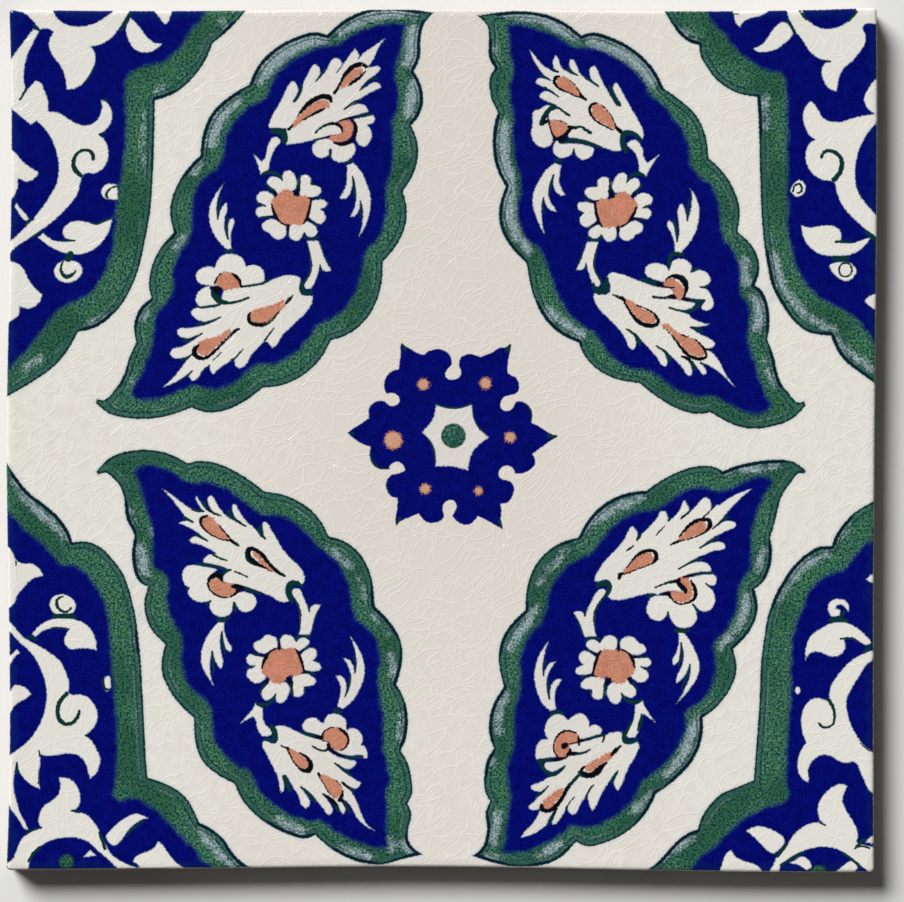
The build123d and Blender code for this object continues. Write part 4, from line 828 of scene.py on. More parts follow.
cornerBottomLeft = dict(
    band=[
        (43, 101.5, 1), (45.1, 99.9), (47.1, 99.1), (50, 96.6), (52.5, 93), (55, 90.8), (58.2, 89.1, 1),
        (59, 87.2), (60.1, 85), (62.2, 82.4), (66, 80.2), (70, 78.8, 1), (70.4, 75.1), (70.8, 67.4),
        (71.2, 59.7), (71.8, 50), (73.2, 39.8), (74.4, 35.2), (75.9, 31.4), (78.2, 28.3), (80.9, 25.6),
        (83.6, 24.4), (87.4, 24.4, 1), (88.2, 22.1), (90.2, 19.1), (94, 15.6), (97.1, 13.3), (99.8, 10.2),
        (101.3, 8.1), (103, 5.4, 1), (110, 5.4, 1), (110, 110, 1), (43, 110, 1)],
    field=[
        (53, 101.5, 1), (54.7, 99.7), (57.2, 98), (58.7, 96), (60.1, 94.6), (62, 92.6), (66, 88.5),
        (68.3, 86.2), (71, 84.5), (73.7, 83.6), (76.8, 84.1), (77.9, 83), (77.9, 81.2), (77.4, 78.1),
        (77.3, 71.2), (77.2, 65.4), (77.7, 61.6), (78.2, 56), (78.7, 48.1), (79.4, 41), (80.6, 37.1),
        (82.5, 34.1), (84.8, 31.4), (87.1, 29.8), (90.4, 29.4), (92.5, 27.1), (94.8, 24.4), (97.9, 22.1),
        (100.6, 19.4), (103, 16, 1), (110, 16, 1), (110, 110, 1), (53, 110, 1)],
    whites=dict(
        upperLeaf=[
            (70, 88.1, 1), (71.8, 88.7), (73.7, 90.1), (75, 91.6), (76.2, 93.3), (77.7, 94.5), (78.9, 93.9),
            (79.7, 92.4), (78.7, 91), (77.2, 89.5), (75.2, 88.1), (72.9, 87.1), (71, 87.6)],
        tooth=[
            (60.5, 101, 1), (61.8, 99.6), (63.8, 98.1), (65.2, 96.4), (67, 94), (67.7, 93.5, 1),
            (68.7, 95.1), (70.9, 96.1), (72.8, 97), (73.4, 98.2), (72.4, 98.8), (71.6, 101, 1)],
        canopy=[
            (72.4, 99.6, 1), (75.2, 98.6), (77.5, 97.3), (78.7, 96.2), (79.5, 94.7), (80.6, 92.8),
            (81.4, 90.8), (82.6, 88.9), (84.1, 87.4), (86, 86.7), (87.5, 86.4, 1), (86, 85.4), (85.6, 83.5),
            (86, 81.6), (87, 79.9), (88.3, 79), (90.6, 78.8, 1), (90.2, 80.4), (90.6, 82.4), (92.2, 84.1),
            (94.1, 85.4), (95.1, 87.4), (95.3, 88.9), (94.6, 90.3, 1), (96.8, 91), (98.7, 92.4),
            (99.9, 94.3), (100.6, 96.2), (101.4, 97.8), (103, 98.6, 1), (103, 104, 1), (76, 104, 1),
            (72.4, 101, 1)],
        sideBand=[
            (97.7, 90.8, 1), (98.6, 90.6, 1), (99.9, 88.5), (102, 85.5), (104, 82, 1), (104, 74, 1),
            (100.2, 75.4, 1), (100.9, 78.1), (101, 81.2), (100.3, 84.3), (99.5, 87), (98.3, 89.3)],
        tusk=[
            (95, 81.4, 1), (96.4, 80.8), (98.7, 78.9), (99.9, 77), (100.2, 75.3, 1), (104, 75, 1),
            (99, 71.5, 1), (95, 72.6, 1), (94.9, 75.1), (95.2, 78.9)],
        scroll=[
            (83.4, 79, 1), (82.2, 78.1), (81.2, 76.2), (81, 74.3), (81.8, 72.4), (82.9, 70.4),
            (84.6, 69.1, 1), (82.9, 67.7), (81.8, 65.8), (81.7, 63.5), (82.6, 61.6), (84.1, 60.1),
            (85.6, 59.6), (87.9, 59.5), (88.4, 59, 1), (88.2, 57), (88.9, 54.7), (90.2, 52), (92.6, 50),
            (95.6, 48.1), (98.7, 46.4), (100.6, 44.3), (104, 40.5, 1), (104, 44, 1), (102, 45.1),
            (99.9, 47.3), (96.8, 50.2), (94.9, 53.5), (93.7, 57), (93.4, 60.4), (93.9, 63.5), (94.9, 66.2),
            (96.8, 69.3), (99.1, 71.6), (101.8, 73.7), (104, 75, 1), (96, 76, 1), (95.1, 73.3, 1),
            (92.9, 73.8), (90.6, 73.5), (88.7, 73.2), (86.8, 73.4), (85.2, 74.4), (84.3, 75.8), (83.8, 77.6)],
        bandRing=[(78.9, 55.3), (79.8, 55.5), (80.1, 57.4), (79.6, 58.9), (78.7, 58.3), (78.6, 56.8)],
        comma=[
            (81.9, 49.4, 1), (83.3, 49), (86, 49), (87.9, 49.1), (89.1, 48.1), (89.3, 46.6), (88.8, 45.5),
            (88.2, 44.6, 1), (89.9, 44.3), (92.2, 44.3), (94.5, 45), (96, 46.2), (96.8, 45.6, 1),
            (95.3, 43.9), (93.3, 42.6), (90.2, 41.9), (87.1, 42.2), (84.8, 43.1), (83, 44.8), (82, 47.3)],
        ring=[
            (86.6, 39.2), (87.3, 40.6), (89.4, 41), (91.6, 40.9), (92.7, 39.2), (92.1, 37.2), (90.3, 36.4),
            (88.4, 36.8), (87.1, 37.9)],
        edgeFlower=[
            (97, 59.5, 1), (97.9, 60.4), (99.5, 61.2), (101, 62.4), (102, 64.3), (104, 66, 1), (104, 59, 1),
            (101.4, 58.4), (101, 57.5), (99.5, 57.5), (97.9, 58.3)],
        sprig=[
            (99.4, 49.9, 1), (101, 51.2), (101.8, 52.6), (104, 53, 1), (104, 50.6, 1), (102, 50.6),
            (100.4, 49.2, 1)],
        footFlower=[
            (104, 40.3, 1), (101.7, 39.4), (101, 38.7), (100.2, 36.8), (98.6, 34.8), (96.7, 32.9),
            (94.2, 32.2, 1), (94.8, 30.8), (96.7, 29.4), (99.4, 29.2), (100.6, 28.2), (101.2, 26.8),
            (104, 24, 1)],
    ),
    cuts=dict(
        halfMoon=[
            (76.4, 100.4, 1), (79.5, 97.4), (81.8, 95.5), (83.7, 93.7), (86, 92.8), (88.3, 92.6),
            (90.6, 92.8), (92.9, 93.5), (95.3, 95.1), (96.8, 97), (97.5, 99.3), (97.6, 104, 1), (76, 104, 1)],
    ),
    extra=dict(
        chip=[(81.9, 96.8, 1), (85, 97.2, 1), (83.3, 95.5, 1)],
    ),
    lines=[
        [(85.8, 63.4, .8), (86.4, 65, .9), (87.6, 66.2, 1), (89.1, 66.4, 1), (90.4, 65.4, 1.1),
         (90.9, 63.3, 1.1), (90.2, 61, 1.1), (88.7, 59.4, 1)],
        [(78.8, 58.2, .4), (79.5, 58.5, .5), (80.2, 57.6, .7), (80.4, 56.2, .7)],
        [(87.7, 39.6, .5), (89, 40.5, .7), (90.6, 39.8, .8), (91.1, 38.5, .8), (90.6, 37.3, .7),
         (89.6, 37, .4)],
        [(86.9, 41.6, .9), (89, 41.5, 1.3), (91.6, 41.5, 1)],
        [(88.2, 44.5, .4), (89.9, 44.2, .5), (92.2, 44.2, .4)],
        [(79.9, 95.2, .8), (80.6, 93.2, .9), (81.2, 91.4, .6)], [(85.8, 86.8, .6), (87.6, 86.4, .6)],
        [(94.6, 90.4, .5), (96.6, 90.9, .7), (98.4, 92, .6)],
        [(97.6, 98.2, .6), (96.4, 96.2, .9), (94.9, 94.9, .8)], [(95.3, 80.2, .3), (95.2, 77, .3)],
        [(95, 73.8, .5), (95.2, 72.6, .5)], [(100.2, 77.6, .7), (100.3, 76, .7), (100.2, 75.2, .4)],
        [(95.8, 46.9, .6), (97.6, 46.2, .7)], [(71.4, 89.1, .5), (73.4, 90.5, .6), (75, 92.3, .5)],
        [(100.5, 28.9, .5), (100.4, 29.9, .4)]],
    eyes=[(88.8, 98.2, 1.7)],
)

cornerBottomRight = dict(
    band=[
        (43.2, 102, 1), (45.1, 100.3), (47.1, 98.8), (49.3, 96.6), (51.4, 94.2), (53.6, 92.3), (55.4, 91.2),
        (57, 90.8, 1), (57.6, 88.6), (58.7, 86.5), (60.1, 84.7), (62.2, 82.7), (66, 81), (69.9, 79.4, 1),
        (70.2, 75.1), (70.8, 67.4), (71.2, 61.6), (71.8, 50), (72.4, 46), (73.2, 41.4), (74.8, 36.8),
        (76.7, 33.3), (79.4, 29.5), (82.5, 26.8), (85.2, 25.4), (87.9, 25.3, 1), (88.6, 23.3), (90.6, 20.2),
        (93.3, 17.5), (97.1, 15.2), (103, 12, 1), (110, 12, 1), (110, 110, 1), (43.2, 110, 1)],
    field=[
        (53, 102, 1), (54.7, 100.4), (56.1, 99.1), (57.6, 97.3), (59.4, 95.9), (62, 93.8), (66, 89.7),
        (68.3, 87.8), (71, 86.6), (74.9, 85.1), (77.3, 84.5), (78.1, 82.8), (77.6, 80.4), (77.4, 75.1),
        (77.9, 69.3), (78.3, 63.5), (78.6, 58), (78.6, 52), (79.1, 46), (80.2, 42.2), (81.7, 38.3),
        (83.6, 34.8), (85.9, 32.5), (88.6, 31.4), (91.3, 30.2), (93.3, 27.5), (95.6, 25.2), (97.3, 24.1),
        (103, 19, 1), (110, 19, 1), (110, 110, 1), (53, 110, 1)],
    whites=dict(
        upperLeaf=[
            (68.2, 91.1, 1), (69.8, 92.4), (71.8, 94.3), (73.3, 95.8), (74.6, 96.4), (75.4, 95.7),
            (77, 93.9), (77, 93), (75.2, 91.4), (73.3, 90.5), (71, 90), (69.1, 90.5)],
        tooth=[
            (61.9, 102, 1), (62.1, 100.3), (62.7, 98.4), (63.4, 96.5), (64.8, 95.5, 1), (65.6, 96.9),
            (67.5, 98), (70.5, 99), (71.8, 100.2), (72.2, 102, 1)],
        canopy=[
            (72.8, 102, 1), (73.9, 99.9), (74.5, 98.9), (75.2, 97), (77.2, 95.1), (77.9, 93.9), (79.5, 91.6),
            (81.4, 90.1), (83.3, 89.3), (84.9, 89.1), (86.6, 89.8, 1), (85.3, 88.7), (84.7, 86.2),
            (85.1, 84.3), (86.4, 82.4), (88.3, 80.8), (90.2, 80.2), (91.6, 80.8, 1), (90.8, 82.4),
            (90.4, 83.9), (91, 85.8), (92.6, 88.5), (93.5, 90.1), (94, 92), (93.7, 93.7, 1), (94.9, 94.2),
            (97, 94.7), (103, 95, 1), (103, 106, 1), (72.8, 106, 1)],
        scroll=[
            (82.5, 79.9, 1), (81.4, 79.3), (80.4, 77.9), (80, 75.8), (80.4, 73.5), (81.4, 71.6),
            (82.1, 70.7, 1), (81.2, 68.5), (80.9, 65.8), (81.2, 63.5), (82.2, 61.6), (83.7, 60.5),
            (85.6, 60.5), (86.9, 61), (87.4, 60, 1), (87.7, 57.7), (89.1, 55.4), (91, 53.1), (93.3, 51.2),
            (95.6, 50), (97.6, 49.3), (103, 47, 1), (103, 48.5, 1), (97.4, 51.6), (96, 52.7), (94.5, 55),
            (92.6, 58.1), (91.4, 60.8), (91.6, 63.9), (92.6, 67), (94.1, 69.7), (95.6, 71.6), (97.2, 72.7),
            (103, 76, 1), (103, 82, 1), (97.4, 82.4), (96.4, 81.6), (95.6, 79.7), (94.5, 77.4), (93.7, 75.6),
            (92.9, 75, 1), (91, 75.4), (89.5, 74.9), (87.9, 73.9), (86, 73.5), (84.5, 74.1), (83.1, 75.4),
            (82.5, 77), (82.7, 78.8)],
        bandRing=[(79.4, 58.6), (80, 59.6), (80.7, 58.9), (80.7, 58.2), (80, 57.7)],
        comma=[
            (81.9, 51.8, 1), (82.6, 50.4), (83.7, 49.8), (85.6, 49.9), (87.6, 50.8), (89.1, 50.8),
            (90.6, 49.8), (91.1, 48.1), (90.8, 46.8, 1), (92.6, 46.7), (94.6, 47.6), (96, 48.2),
            (97.2, 47.5, 1), (96.4, 46.6), (95, 45.2), (93.3, 43.9), (90.6, 42.9), (87.9, 43.1),
            (85.2, 44.5), (83.2, 45.9), (82.1, 48.1)],
        ring=[
            (89.6, 41.3), (87.9, 41.5), (87, 39.8), (87.5, 38.3), (89, 37.5), (90.9, 37.8), (92, 39.3),
            (91.8, 40.5, 1), (91.2, 39.6), (90.4, 38.9), (89.2, 39), (88.8, 39.7, 1), (89.9, 40.2)],
        sideSpeck=[(95.9, 33), (97, 33.7), (99, 34, 1), (99, 31.2, 1), (97.2, 31.9)],
        edgeChip=[(95.7, 93.8, 1), (96.4, 92.9), (97.4, 92.1, 1), (103, 91.5, 1), (103, 93.9, 1)],
    ),
    cuts=dict(
        halfMoon=[
            (76, 99.5, 1), (78.7, 97.2), (81, 95.9), (82.6, 95.3), (85.2, 94.8), (87.6, 94.9), (89.9, 95.6),
            (92.2, 97.2), (94.5, 99.1), (96.4, 100.6), (96, 106, 1), (75, 106, 1)],
    ),
    extra=dict(
        blobLeft=[
            (78.2, 98.5, 1), (80.6, 99.1), (82.2, 100.2), (83.3, 99.4), (82.6, 97.8), (81.2, 97),
            (79.5, 97.8)],
        blobRight=[(88.4, 101, 1), (92.6, 101, 1), (93.9, 99.5), (92.6, 98), (90.6, 99.1)],
    ),
    lines=[
        [(85, 66.2, .6), (85.6, 67, .7), (86.8, 67.2, .6), (88.1, 66.6, .6), (88.6, 64.7, .7),
         (88.3, 62.7, .8), (87.2, 60.8, 1)],
        [(89.9, 46.8, .5), (91.2, 46.6, .6), (92.8, 46.6, .5), (94.4, 47.5, .3)],
        [(95.2, 50, .6), (96.2, 49, .9), (97.2, 48.2, .8)],
        [(87.4, 42.4, .8), (89.2, 42.2, 1.3), (91.4, 42.5, .9)], [(90.2, 41.6, .9), (90.8, 40.4, .8)],
        [(76.2, 99.1, .7), (78.7, 97.4, .8), (81, 96.2, .8)],
        [(90.4, 96.2, .6), (92.2, 97.4, .7), (94.5, 99.3, .7)],
        [(75.4, 97, .8), (76.4, 95.6, .9), (77.5, 94.1, .9)], [(85.2, 89.3, .4), (86.5, 89.8, .5)],
        [(93.3, 95.1, .6), (94.4, 94, .9), (95.6, 92.9, .5)],
        [(94.2, 94.7, .5), (95.4, 94.7, .5), (96.6, 95.1, .5)], [(82.7, 78.6, .3), (82.5, 77, .3)],
        [(94.6, 70.9, .3), (96.2, 72.3, .4), (97.4, 73, .4)]],
    eyes=[(85, 100.9, 1.9)],
)

# middle star, in mm across and up from its centre
starArt = dict(
    field=[
        (24.75, .05, 1), (22.4, 1), (20.3, 2.4), (18.6, 3.1, 1), (18.75, 5.1), (18, 7), (16.6, 8.05),
        (15.05, 8.05), (14.75, 7.6, 1), (14.1, 6.4), (12.6, 5.9), (11.5, 6.7), (11.5, 7.9), (12.3, 9.15),
        (13.2, 9.45), (14.75, 9.75, 1), (15.5, 10.4), (15.7, 12.2), (15.05, 13.6), (13.3, 14.5),
        (13.05, 14.85, 1), (13.2, 17.15), (13.65, 19.6), (13.95, 21.3, 1), (12.9, 20.7), (10.9, 20.4),
        (9.8, 19.6), (7.65, 18.7), (6.9, 18.4, 1), (5.5, 18.85), (3.65, 19), (2.25, 18.2), (1.8, 16.85),
        (2.25, 15.3, 1), (2.25, 14.2), (1.2, 13.3), (-.35, 13.15), (-1.3, 13.9), (-1.1, 15.15), (-.5, 15.8),
        (.25, 16.7, 1), (.1, 17.9), (-.65, 19.3), (-2.2, 20.1), (-4.05, 20.1), (-5.45, 19.6),
        (-6.2, 18.85, 1), (-7.75, 19.3), (-9.6, 20.4), (-11.6, 21.45, 1), (-11.75, 20.7), (-11.6, 19.3),
        (-11.9, 17.15), (-12.05, 15.6, 1), (-13.6, 15.15), (-15, 13.75), (-15.5, 11.9), (-15.2, 10.4),
        (-14.85, 9.9, 1), (-13.1, 9.9), (-12.05, 9.15), (-11.9, 8.05), (-13, 7.15), (-14.4, 7.3),
        (-15.15, 8.05, 1), (-16.2, 8.35), (-17.9, 7.75), (-19, 6.5), (-19, 4.85), (-19, 4.2, 1), (-21, 2.85),
        (-23.15, 1.45), (-23.8, .75, 1), (-22.55, -.4), (-20.7, -1.65), (-18.55, -2.4, 1), (-18.85, -3.8),
        (-18.55, -5.65), (-17.3, -7.2), (-15.45, -7.65), (-14.4, -7.5, 1), (-13.75, -6.4), (-12.35, -5.8),
        (-11.15, -6.55), (-10.7, -7.8), (-11.75, -8.4), (-13.45, -8.7, 1), (-14.55, -9.65), (-15, -11.35),
        (-14.55, -13.05), (-13.3, -14.1), (-12.35, -14.1, 1), (-12.5, -16.7), (-12.85, -19.5),
        (-12.7, -20.6, 1), (-11.45, -19.5), (-9.3, -18.6), (-7.45, -17.8, 1), (-6.85, -18.75), (-5.6, -19.8),
        (-3.75, -19.95), (-2.2, -19.35), (-1.55, -18.4, 1), (-1.9, -17.05), (-1.75, -15.8), (-.7, -14.75),
        (.7, -14.9), (1.3, -15.95), (.85, -17.35), (.25, -18.4, 1), (1.5, -19.65), (3, -20.4), (4.7, -20.1),
        (5.65, -19.2), (6.1, -18.4, 1), (8.25, -19.35), (10.1, -20.4), (12.1, -21.5, 1), (11.5, -19.8),
        (11.65, -17.65), (11.5, -15.5, 1), (13.2, -15.2), (14.25, -13.65), (14.6, -11.8), (13.65, -10.4),
        (11.95, -9.95, 1), (11.05, -9.05), (11.2, -7.8), (12.25, -6.85), (13.65, -6.85), (14.6, -7.8),
        (14.75, -8.55, 1), (16.3, -8.55), (18.1, -7.8), (19.35, -6.55), (19.35, -5.05), (18.75, -4.1, 1),
        (20.6, -2.7), (23.05, -1)],
    whites=dict(
        inner=[
            (-3.4, 7.2, 1), (.5, 6.4), (4.8, 7.3, 1), (5.6, 3.3), (8.7, -.2, 1), (5, -3.5), (3.85, -7.75, 1),
            (.3, -6.9), (-3.5, -6.9, 1), (-4.1, -2), (-6.7, 1, 1), (-4.4, 3.6)],
    ),
    eyes=[(.55, .15, 2.8)],
    lines=[
        [(-11.3, 21.5, .3), (-10.6, 20.2, 1)], [(13.7, 21.2, .5), (12.9, 19.8, 1)],
        [(24.6, .05, .4), (22.6, .1, 1.1)], [(11.8, -21.2, .4), (11.2, -19.6, .9)],
        [(-12.6, -20.3, .4), (-11.8, -18.9, .9)], [(-23.8, .9, .3), (-22.6, .7, .7)],
        [(-3.6, 7.6, .3), (-1.6, 6.9, .5), (.4, 6.6, .5), (2.6, 6.8, .5), (4.6, 7.6, .3)],
        [(-6.2, .4, .2), (-4.9, -1.2, .45), (-4.1, -3, .5), (-3.7, -5.6, .3)],
        [(5, 6.4, .25), (5.4, 4, .4), (6.6, 1.8, .4), (8.3, .1, .2)],
        [(-18.6, -3.4, .3), (-18.2, -5.6, .5), (-16.6, -7.2, .5), (-14.2, -7.4, .3)],
        [(17.2, 7.5, .3), (18.6, 5.6, .45), (18.3, 3.4, .3)],
        [(-14.6, -9.8, .25), (-14.9, -11.6, .4), (-14, -13.2, .3)]],
    dots=[
        (-6.4, 12.05, 1.45), (7.95, 12.3, 1.45), (13.65, -.15, 1.4), (6.35, -12.55, 1.1), (-6, -12.1, 1.35),
        (-13.35, -.85, 2.2)],
)

# pale worn places along the green, brushed like the lines: u, v and width
wornPatches = dict(
    topLeft=[
        [(9, 97.6, 1.5), (16, 97.4, 2.2), (22, 95.6, 2.2), (26, 93, 1.5)],
        [(29.5, 91.8, 2), (37, 89.5, 2.9), (42, 85.5, 2.7), (44.2, 82.2, 1.7)],
        [(49, 77.6, 1.5), (53.6, 73, 2.2), (55.4, 67.5, 2)], [(8.6, 94, 2.6), (9.4, 86.5, 2.8)],
        [(8.6, 81.5, 2.6), (9.6, 75, 2.4)], [(84, 25.8, .9), (80, 27.6, 1.1)],
        [(95, 18, .9), (99, 15.4, .9)], [(71.2, 76, .4), (71.2, 63, .4)],
        [(68.4, 79.6, .7), (65.6, 80.6, .6)], [(53.3, 96.2, .7), (50.3, 93.2, .6)],
        [(62.3, 45.8, 1.4), (63.6, 43.6, 1.2)], [(70.2, 29.2, 1.4), (71, 27, 1.2)],
        [(58, 63.2, 1.3), (59.6, 60.8, 1.2)], [(73.4, 13.7, .9), (74.4, 11.4, .8)]],
    topRight=[
        [(13, 98, 2.4), (20, 96.6, 2.4), (26, 93.8, 2.2), (29, 91.6, 1.6)], [(10, 90, .8), (10.6, 86, .8)],
        [(12.4, 72, 2.2), (12, 66, 2.4), (13.4, 59.8, 2.6), (13.6, 53, 2.4), (15, 47, 2.2), (18, 43.2, 1.6)],
        [(22, 29.6, 1.4), (25.4, 26.6, 1.8), (30, 23.6, 2)], [(32, 91.4, 2.2), (38, 89.2, 2.8)],
        [(38, 89.2, 2.8), (43.4, 85.8, 2.8), (46.6, 81.8, 2.4)], [(67.6, 40.6, 2), (68, 35.4, 2)],
        [(70, 32, 1.8), (71.4, 28, 2.4), (70.4, 24.8, 1.8)], [(72.6, 18, 1), (74.4, 12, 1)],
        [(74.6, 42, 1.2), (76.2, 36, 1.6), (79, 31.2, 1.6), (83, 27.4, 1.4), (87.4, 25.1, 1)],
        [(88.4, 24.4, .8), (91.4, 20, 1), (97.5, 15.6, 1.4)], [(53, 94, .8), (56.6, 91.4, .8)],
        [(72.4, 78, 1.4), (72.8, 71, 1)]],
    bottomLeft=[
        [(8, 97.4, 1.6), (10.6, 94, 1.6)], [(13.6, 95.4, 1.4), (14, 92.4, 1.2)],
        [(19, 97, 1.2), (25, 95, 1.4)], [(34, 91.4, 1.4), (40, 88.6, 1.6)], [(11.8, 70, .9), (11.6, 64, .9)],
        [(13.2, 56, 1.2), (13.8, 51, 1.4)], [(14.4, 45.6, .5), (18, 41, .5)], [(19, 38, .5), (22, 32.2, .5)],
        [(23.2, 30, 1.2), (28, 26, 1.4)], [(70.6, 31, 2), (72, 26, 2.2)],
        [(69.2, 22.4, .9), (69.4, 21.2, .8)], [(73, 21, .4), (74.2, 16.6, .4)],
        [(72.6, 48.6, .6), (73, 46.6, .6)],
        [(88.4, 23.6, .9), (92, 20, 1.6), (96, 16.6, 1.4), (101, 10.5, 1)],
        [(50, 99.4, 1.2), (54.6, 95, 1.8), (58, 91.2, 1.2)]],
    bottomRight=[
        [(6.4, 97, 1.4), (10.6, 97.8, 1.6)], [(9.6, 94, 1.4), (10.8, 87.6, 1.8)],
        [(20, 97, 1.2), (25, 94.2, 1.6)], [(42, 86.6, 1.2), (46, 83, 1.4)],
        [(49.6, 78, 1.4), (53.4, 74, 2.2), (56, 67.6, 2.2), (57, 65.4, 1.6)], [(9, 77, .6), (10, 74.4, .6)],
        [(11, 68.6, 1.4), (11, 63, 1.6), (13, 59.6, 1.4)],
        [(13.4, 49, 1.4), (15.2, 46, 1.8), (17.4, 43, 1.8), (19.6, 39.6, 1.4)],
        [(20.6, 34, .5), (23.4, 30, .8), (27.4, 26, .8)],
        [(30.6, 21.4, 1.4), (35, 18.2, 1.8), (40.4, 15.6, 1.8), (44, 14, .9)],
        [(62, 48.4, 1.4), (66.4, 43.6, 1.6), (68.4, 37, 1.6)], [(71, 31, 1.2), (72.4, 26, 1.2)],
        [(64.4, 8.4, 1.2), (70, 7.4, 1.4), (75.4, 6.8, .8)],
        [(75.2, 38.2, .8), (78.4, 33.6, 1.4), (82, 29.8, 1.4), (87, 27.2, 1)],
        [(89.4, 24, .5), (92.4, 20.6, .5)], [(48.6, 97.6, 1), (52, 94.8, 1.8), (55.6, 92.6, 1.4)]],
)


def curveThrough(points, closed=True, step=0.45):
    # smooth line through the points, with a fresh start at every sharp corner
    count = len(points)
    xy = np.array([p[:2] for p in points], float)
    sharp = [len(p) > 2 and p[2] == 1 for p in points]
    if not closed:
        sharp[0] = sharp[-1] = True
    spans = range(count if closed else count - 1)
    tangents = {}
    for i in range(count):
        if sharp[i]:
            continue
        before, here, after = xy[i - 1], xy[i], xy[(i + 1) % count]
        a, b = np.linalg.norm(here - before), np.linalg.norm(after - here)
        tangents[i] = ((here - before) / a * b + (after - here) / b * a) / (a + b)
    line = []
    for i in spans:
        j = (i + 1) % count
        chord = xy[j] - xy[i]
        length = np.linalg.norm(chord)
        start, end = tangents.get(i), tangents.get(j)
        start = None if start is None else start * length
        end = None if end is None else end * length
        if start is None:
            start = chord if end is None else 1.5 * chord - 0.5 * end
        if end is None:
            end = chord if tangents.get(i) is None else 1.5 * chord - 0.5 * start
        steps = max(1, int(round(length / step)))
        for part in range(steps):
            t = part / steps
            line.append((2*t**3 - 3*t**2 + 1) * xy[i] + (t**3 - 2*t**2 + t) * start
                        + (3*t**2 - 2*t**3) * xy[j] + (t**3 - t**2) * end)
    if not closed:
        line.append(xy[-1])
    return np.array(line)


def strokeThrough(points):
    # brushed line: smooth path with the width run along it
    path = curveThrough([p[:2] for p in points], closed=False)
    knots = np.array([p[:2] for p in points], float)
    along = np.r_[0, np.cumsum(np.linalg.norm(np.diff(path, axis=0), axis=1))]
    spots = [along[np.argmin(((path - k) ** 2).sum(1))] for k in knots]
    return np.c_[path, np.interp(along, spots, [p[2] for p in points])]


def bendBy(shifts, softness=2.0):
    # thin-plate bend carrying the master leaf's points onto another leaf's
    start = np.array([row[:2] for row in shifts], float)
    move = np.array([row[2:] for row in shifts], float) - start
    count = len(start)

    def pull(a, b):
        d = np.linalg.norm(a[:, None] - b[None], axis=2)
        return d * d * np.log(d + 1e-9)

    full = np.zeros((count + 3, count + 3))
    full[:count, :count] = pull(start, start) + softness * np.eye(count)
    full[:count, count:] = np.c_[np.ones(count), start]
    full[count:, :count] = full[:count, count:].T
    weights = np.linalg.solve(full, np.r_[move, np.zeros((3, 2))])

    def bend(points):
        xy = points[:, :2]
        out = points.copy()
        out[:, :2] += pull(xy, start) @ weights[:count] + np.c_[np.ones(len(xy)), xy] @ weights[count:]
        return out

    return bend


# the design's centre on the tile, and which way each quarter runs
design = dict(centreX=2.11, centreY=0.80, scale=0.9974)
quarters = dict(topLeft=(-1, 1), topRight=(1, 1), bottomLeft=(-1, -1), bottomRight=(1, -1))
corners = dict(topLeft=cornerTopLeft, topRight=cornerTopRight,
               bottomLeft=cornerBottomLeft, bottomRight=cornerBottomRight)
blossoms = dict(topLeft=blossomTopLeft, topRight=blossomTopRight,
                bottomLeft=blossomBottomLeft, bottomRight=blossomBottomRight)
shapes = dict(band=[], cobalt=[], white=[], cut=[], extra=[], salmon=[], dot=[], eye=[], line=[], wear=[])


def onTile(points, side):
    out = points.copy()
    out[:, 0] = design["centreX"] + side[0] * design["scale"] * points[:, 0]
    out[:, 1] = design["centreY"] + side[1] * design["scale"] * points[:, 1]
    return out


def roundSpot(x, y, r, points=28):
    turn = np.linspace(0, 2 * math.pi, points, endpoint=False)
    return np.c_[x + r * np.cos(turn), y + r * np.sin(turn)]


def placeArt(art, side, bend=None):
    def put(kind, points):
        shapes[kind].append(onTile(points if bend is None else bend(points), side))

    for kind, outline in (("band", "band"), ("cobalt", "field")):
        if outline in art:
            put(kind, curveThrough(art[outline]))
    for kind, group in (("white", "whites"), ("cut", "cuts"), ("extra", "extra"), ("salmon", "salmon")):
        for loop in art.get(group, {}).values():
            put(kind, curveThrough(loop))
    for kind, group in (("eye", "eyes"), ("dot", "dots")):
        for x, y, r in art.get(group, ()):
            put(kind, roundSpot(x, y, r))
    for stroke in art["lines"]:
        put("line", strokeThrough(stroke))


for number, (name, side) in enumerate(quarters.items()):
    moved = slice(2 * number, 2 * number + 2)
    placeArt(leafArt, side, bendBy([row[:2] + row[moved] for row in leafShifts]) if number else None)
    placeArt(blossoms[name], side)
    placeArt(corners[name], side)
    for stroke in wornPatches[name]:
        shapes["wear"].append(onTile(strokeThrough(stroke), side))
placeArt(starArt, (1, 1))
print("ornament drawn:", {k: len(v) for k, v in shapes.items()})

# the tile's edge comes from the frame
tile = dict(arris=0.7, backBevel=0.5, edgeStep=1.0, same=0.02, waviness=0.10, glazeLine=2.6,
            sideRings=((0.04, 5.2), (0.0, 3.4), (0.05, 1.6)))  # inset and height of rings down the sides
# how closely points lie on the face, in mm, and how many are added where outlines are missed
faceNet = dict(half=101, edgeReach=1.0, edgeGap=0.01, outlineStep=0.55, outlineGap=0.14, outlineInset=0.3,
               besideOffset=0.3, besideGap=0.24, grid=1.45, gridGap=0.7, gridInset=0.5,
               refine=2, spare=13000, missReach=0.8, missLeast=0.06, missGap=0.08)
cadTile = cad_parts["tile"]
solid = np.array([v.co[:] for v in cadTile.data.vertices]) / mm
rim = solid[np.abs(solid[:, 2] - (topZ - tile["arris"])) < tile["same"]][:, :2]
rim = rim[np.argsort(np.arctan2(rim[:, 1], rim[:, 0]))]
edge = []
for a, b in zip(rim, np.roll(rim, -1, axis=0)):
    gap = np.linalg.norm(b - a)
    if gap < tile["same"]:
        continue
    steps = max(1, int(round(gap / tile["edgeStep"])))
    edge += [a + (b - a) * k / steps for k in range(steps)]
edge = np.array(edge)
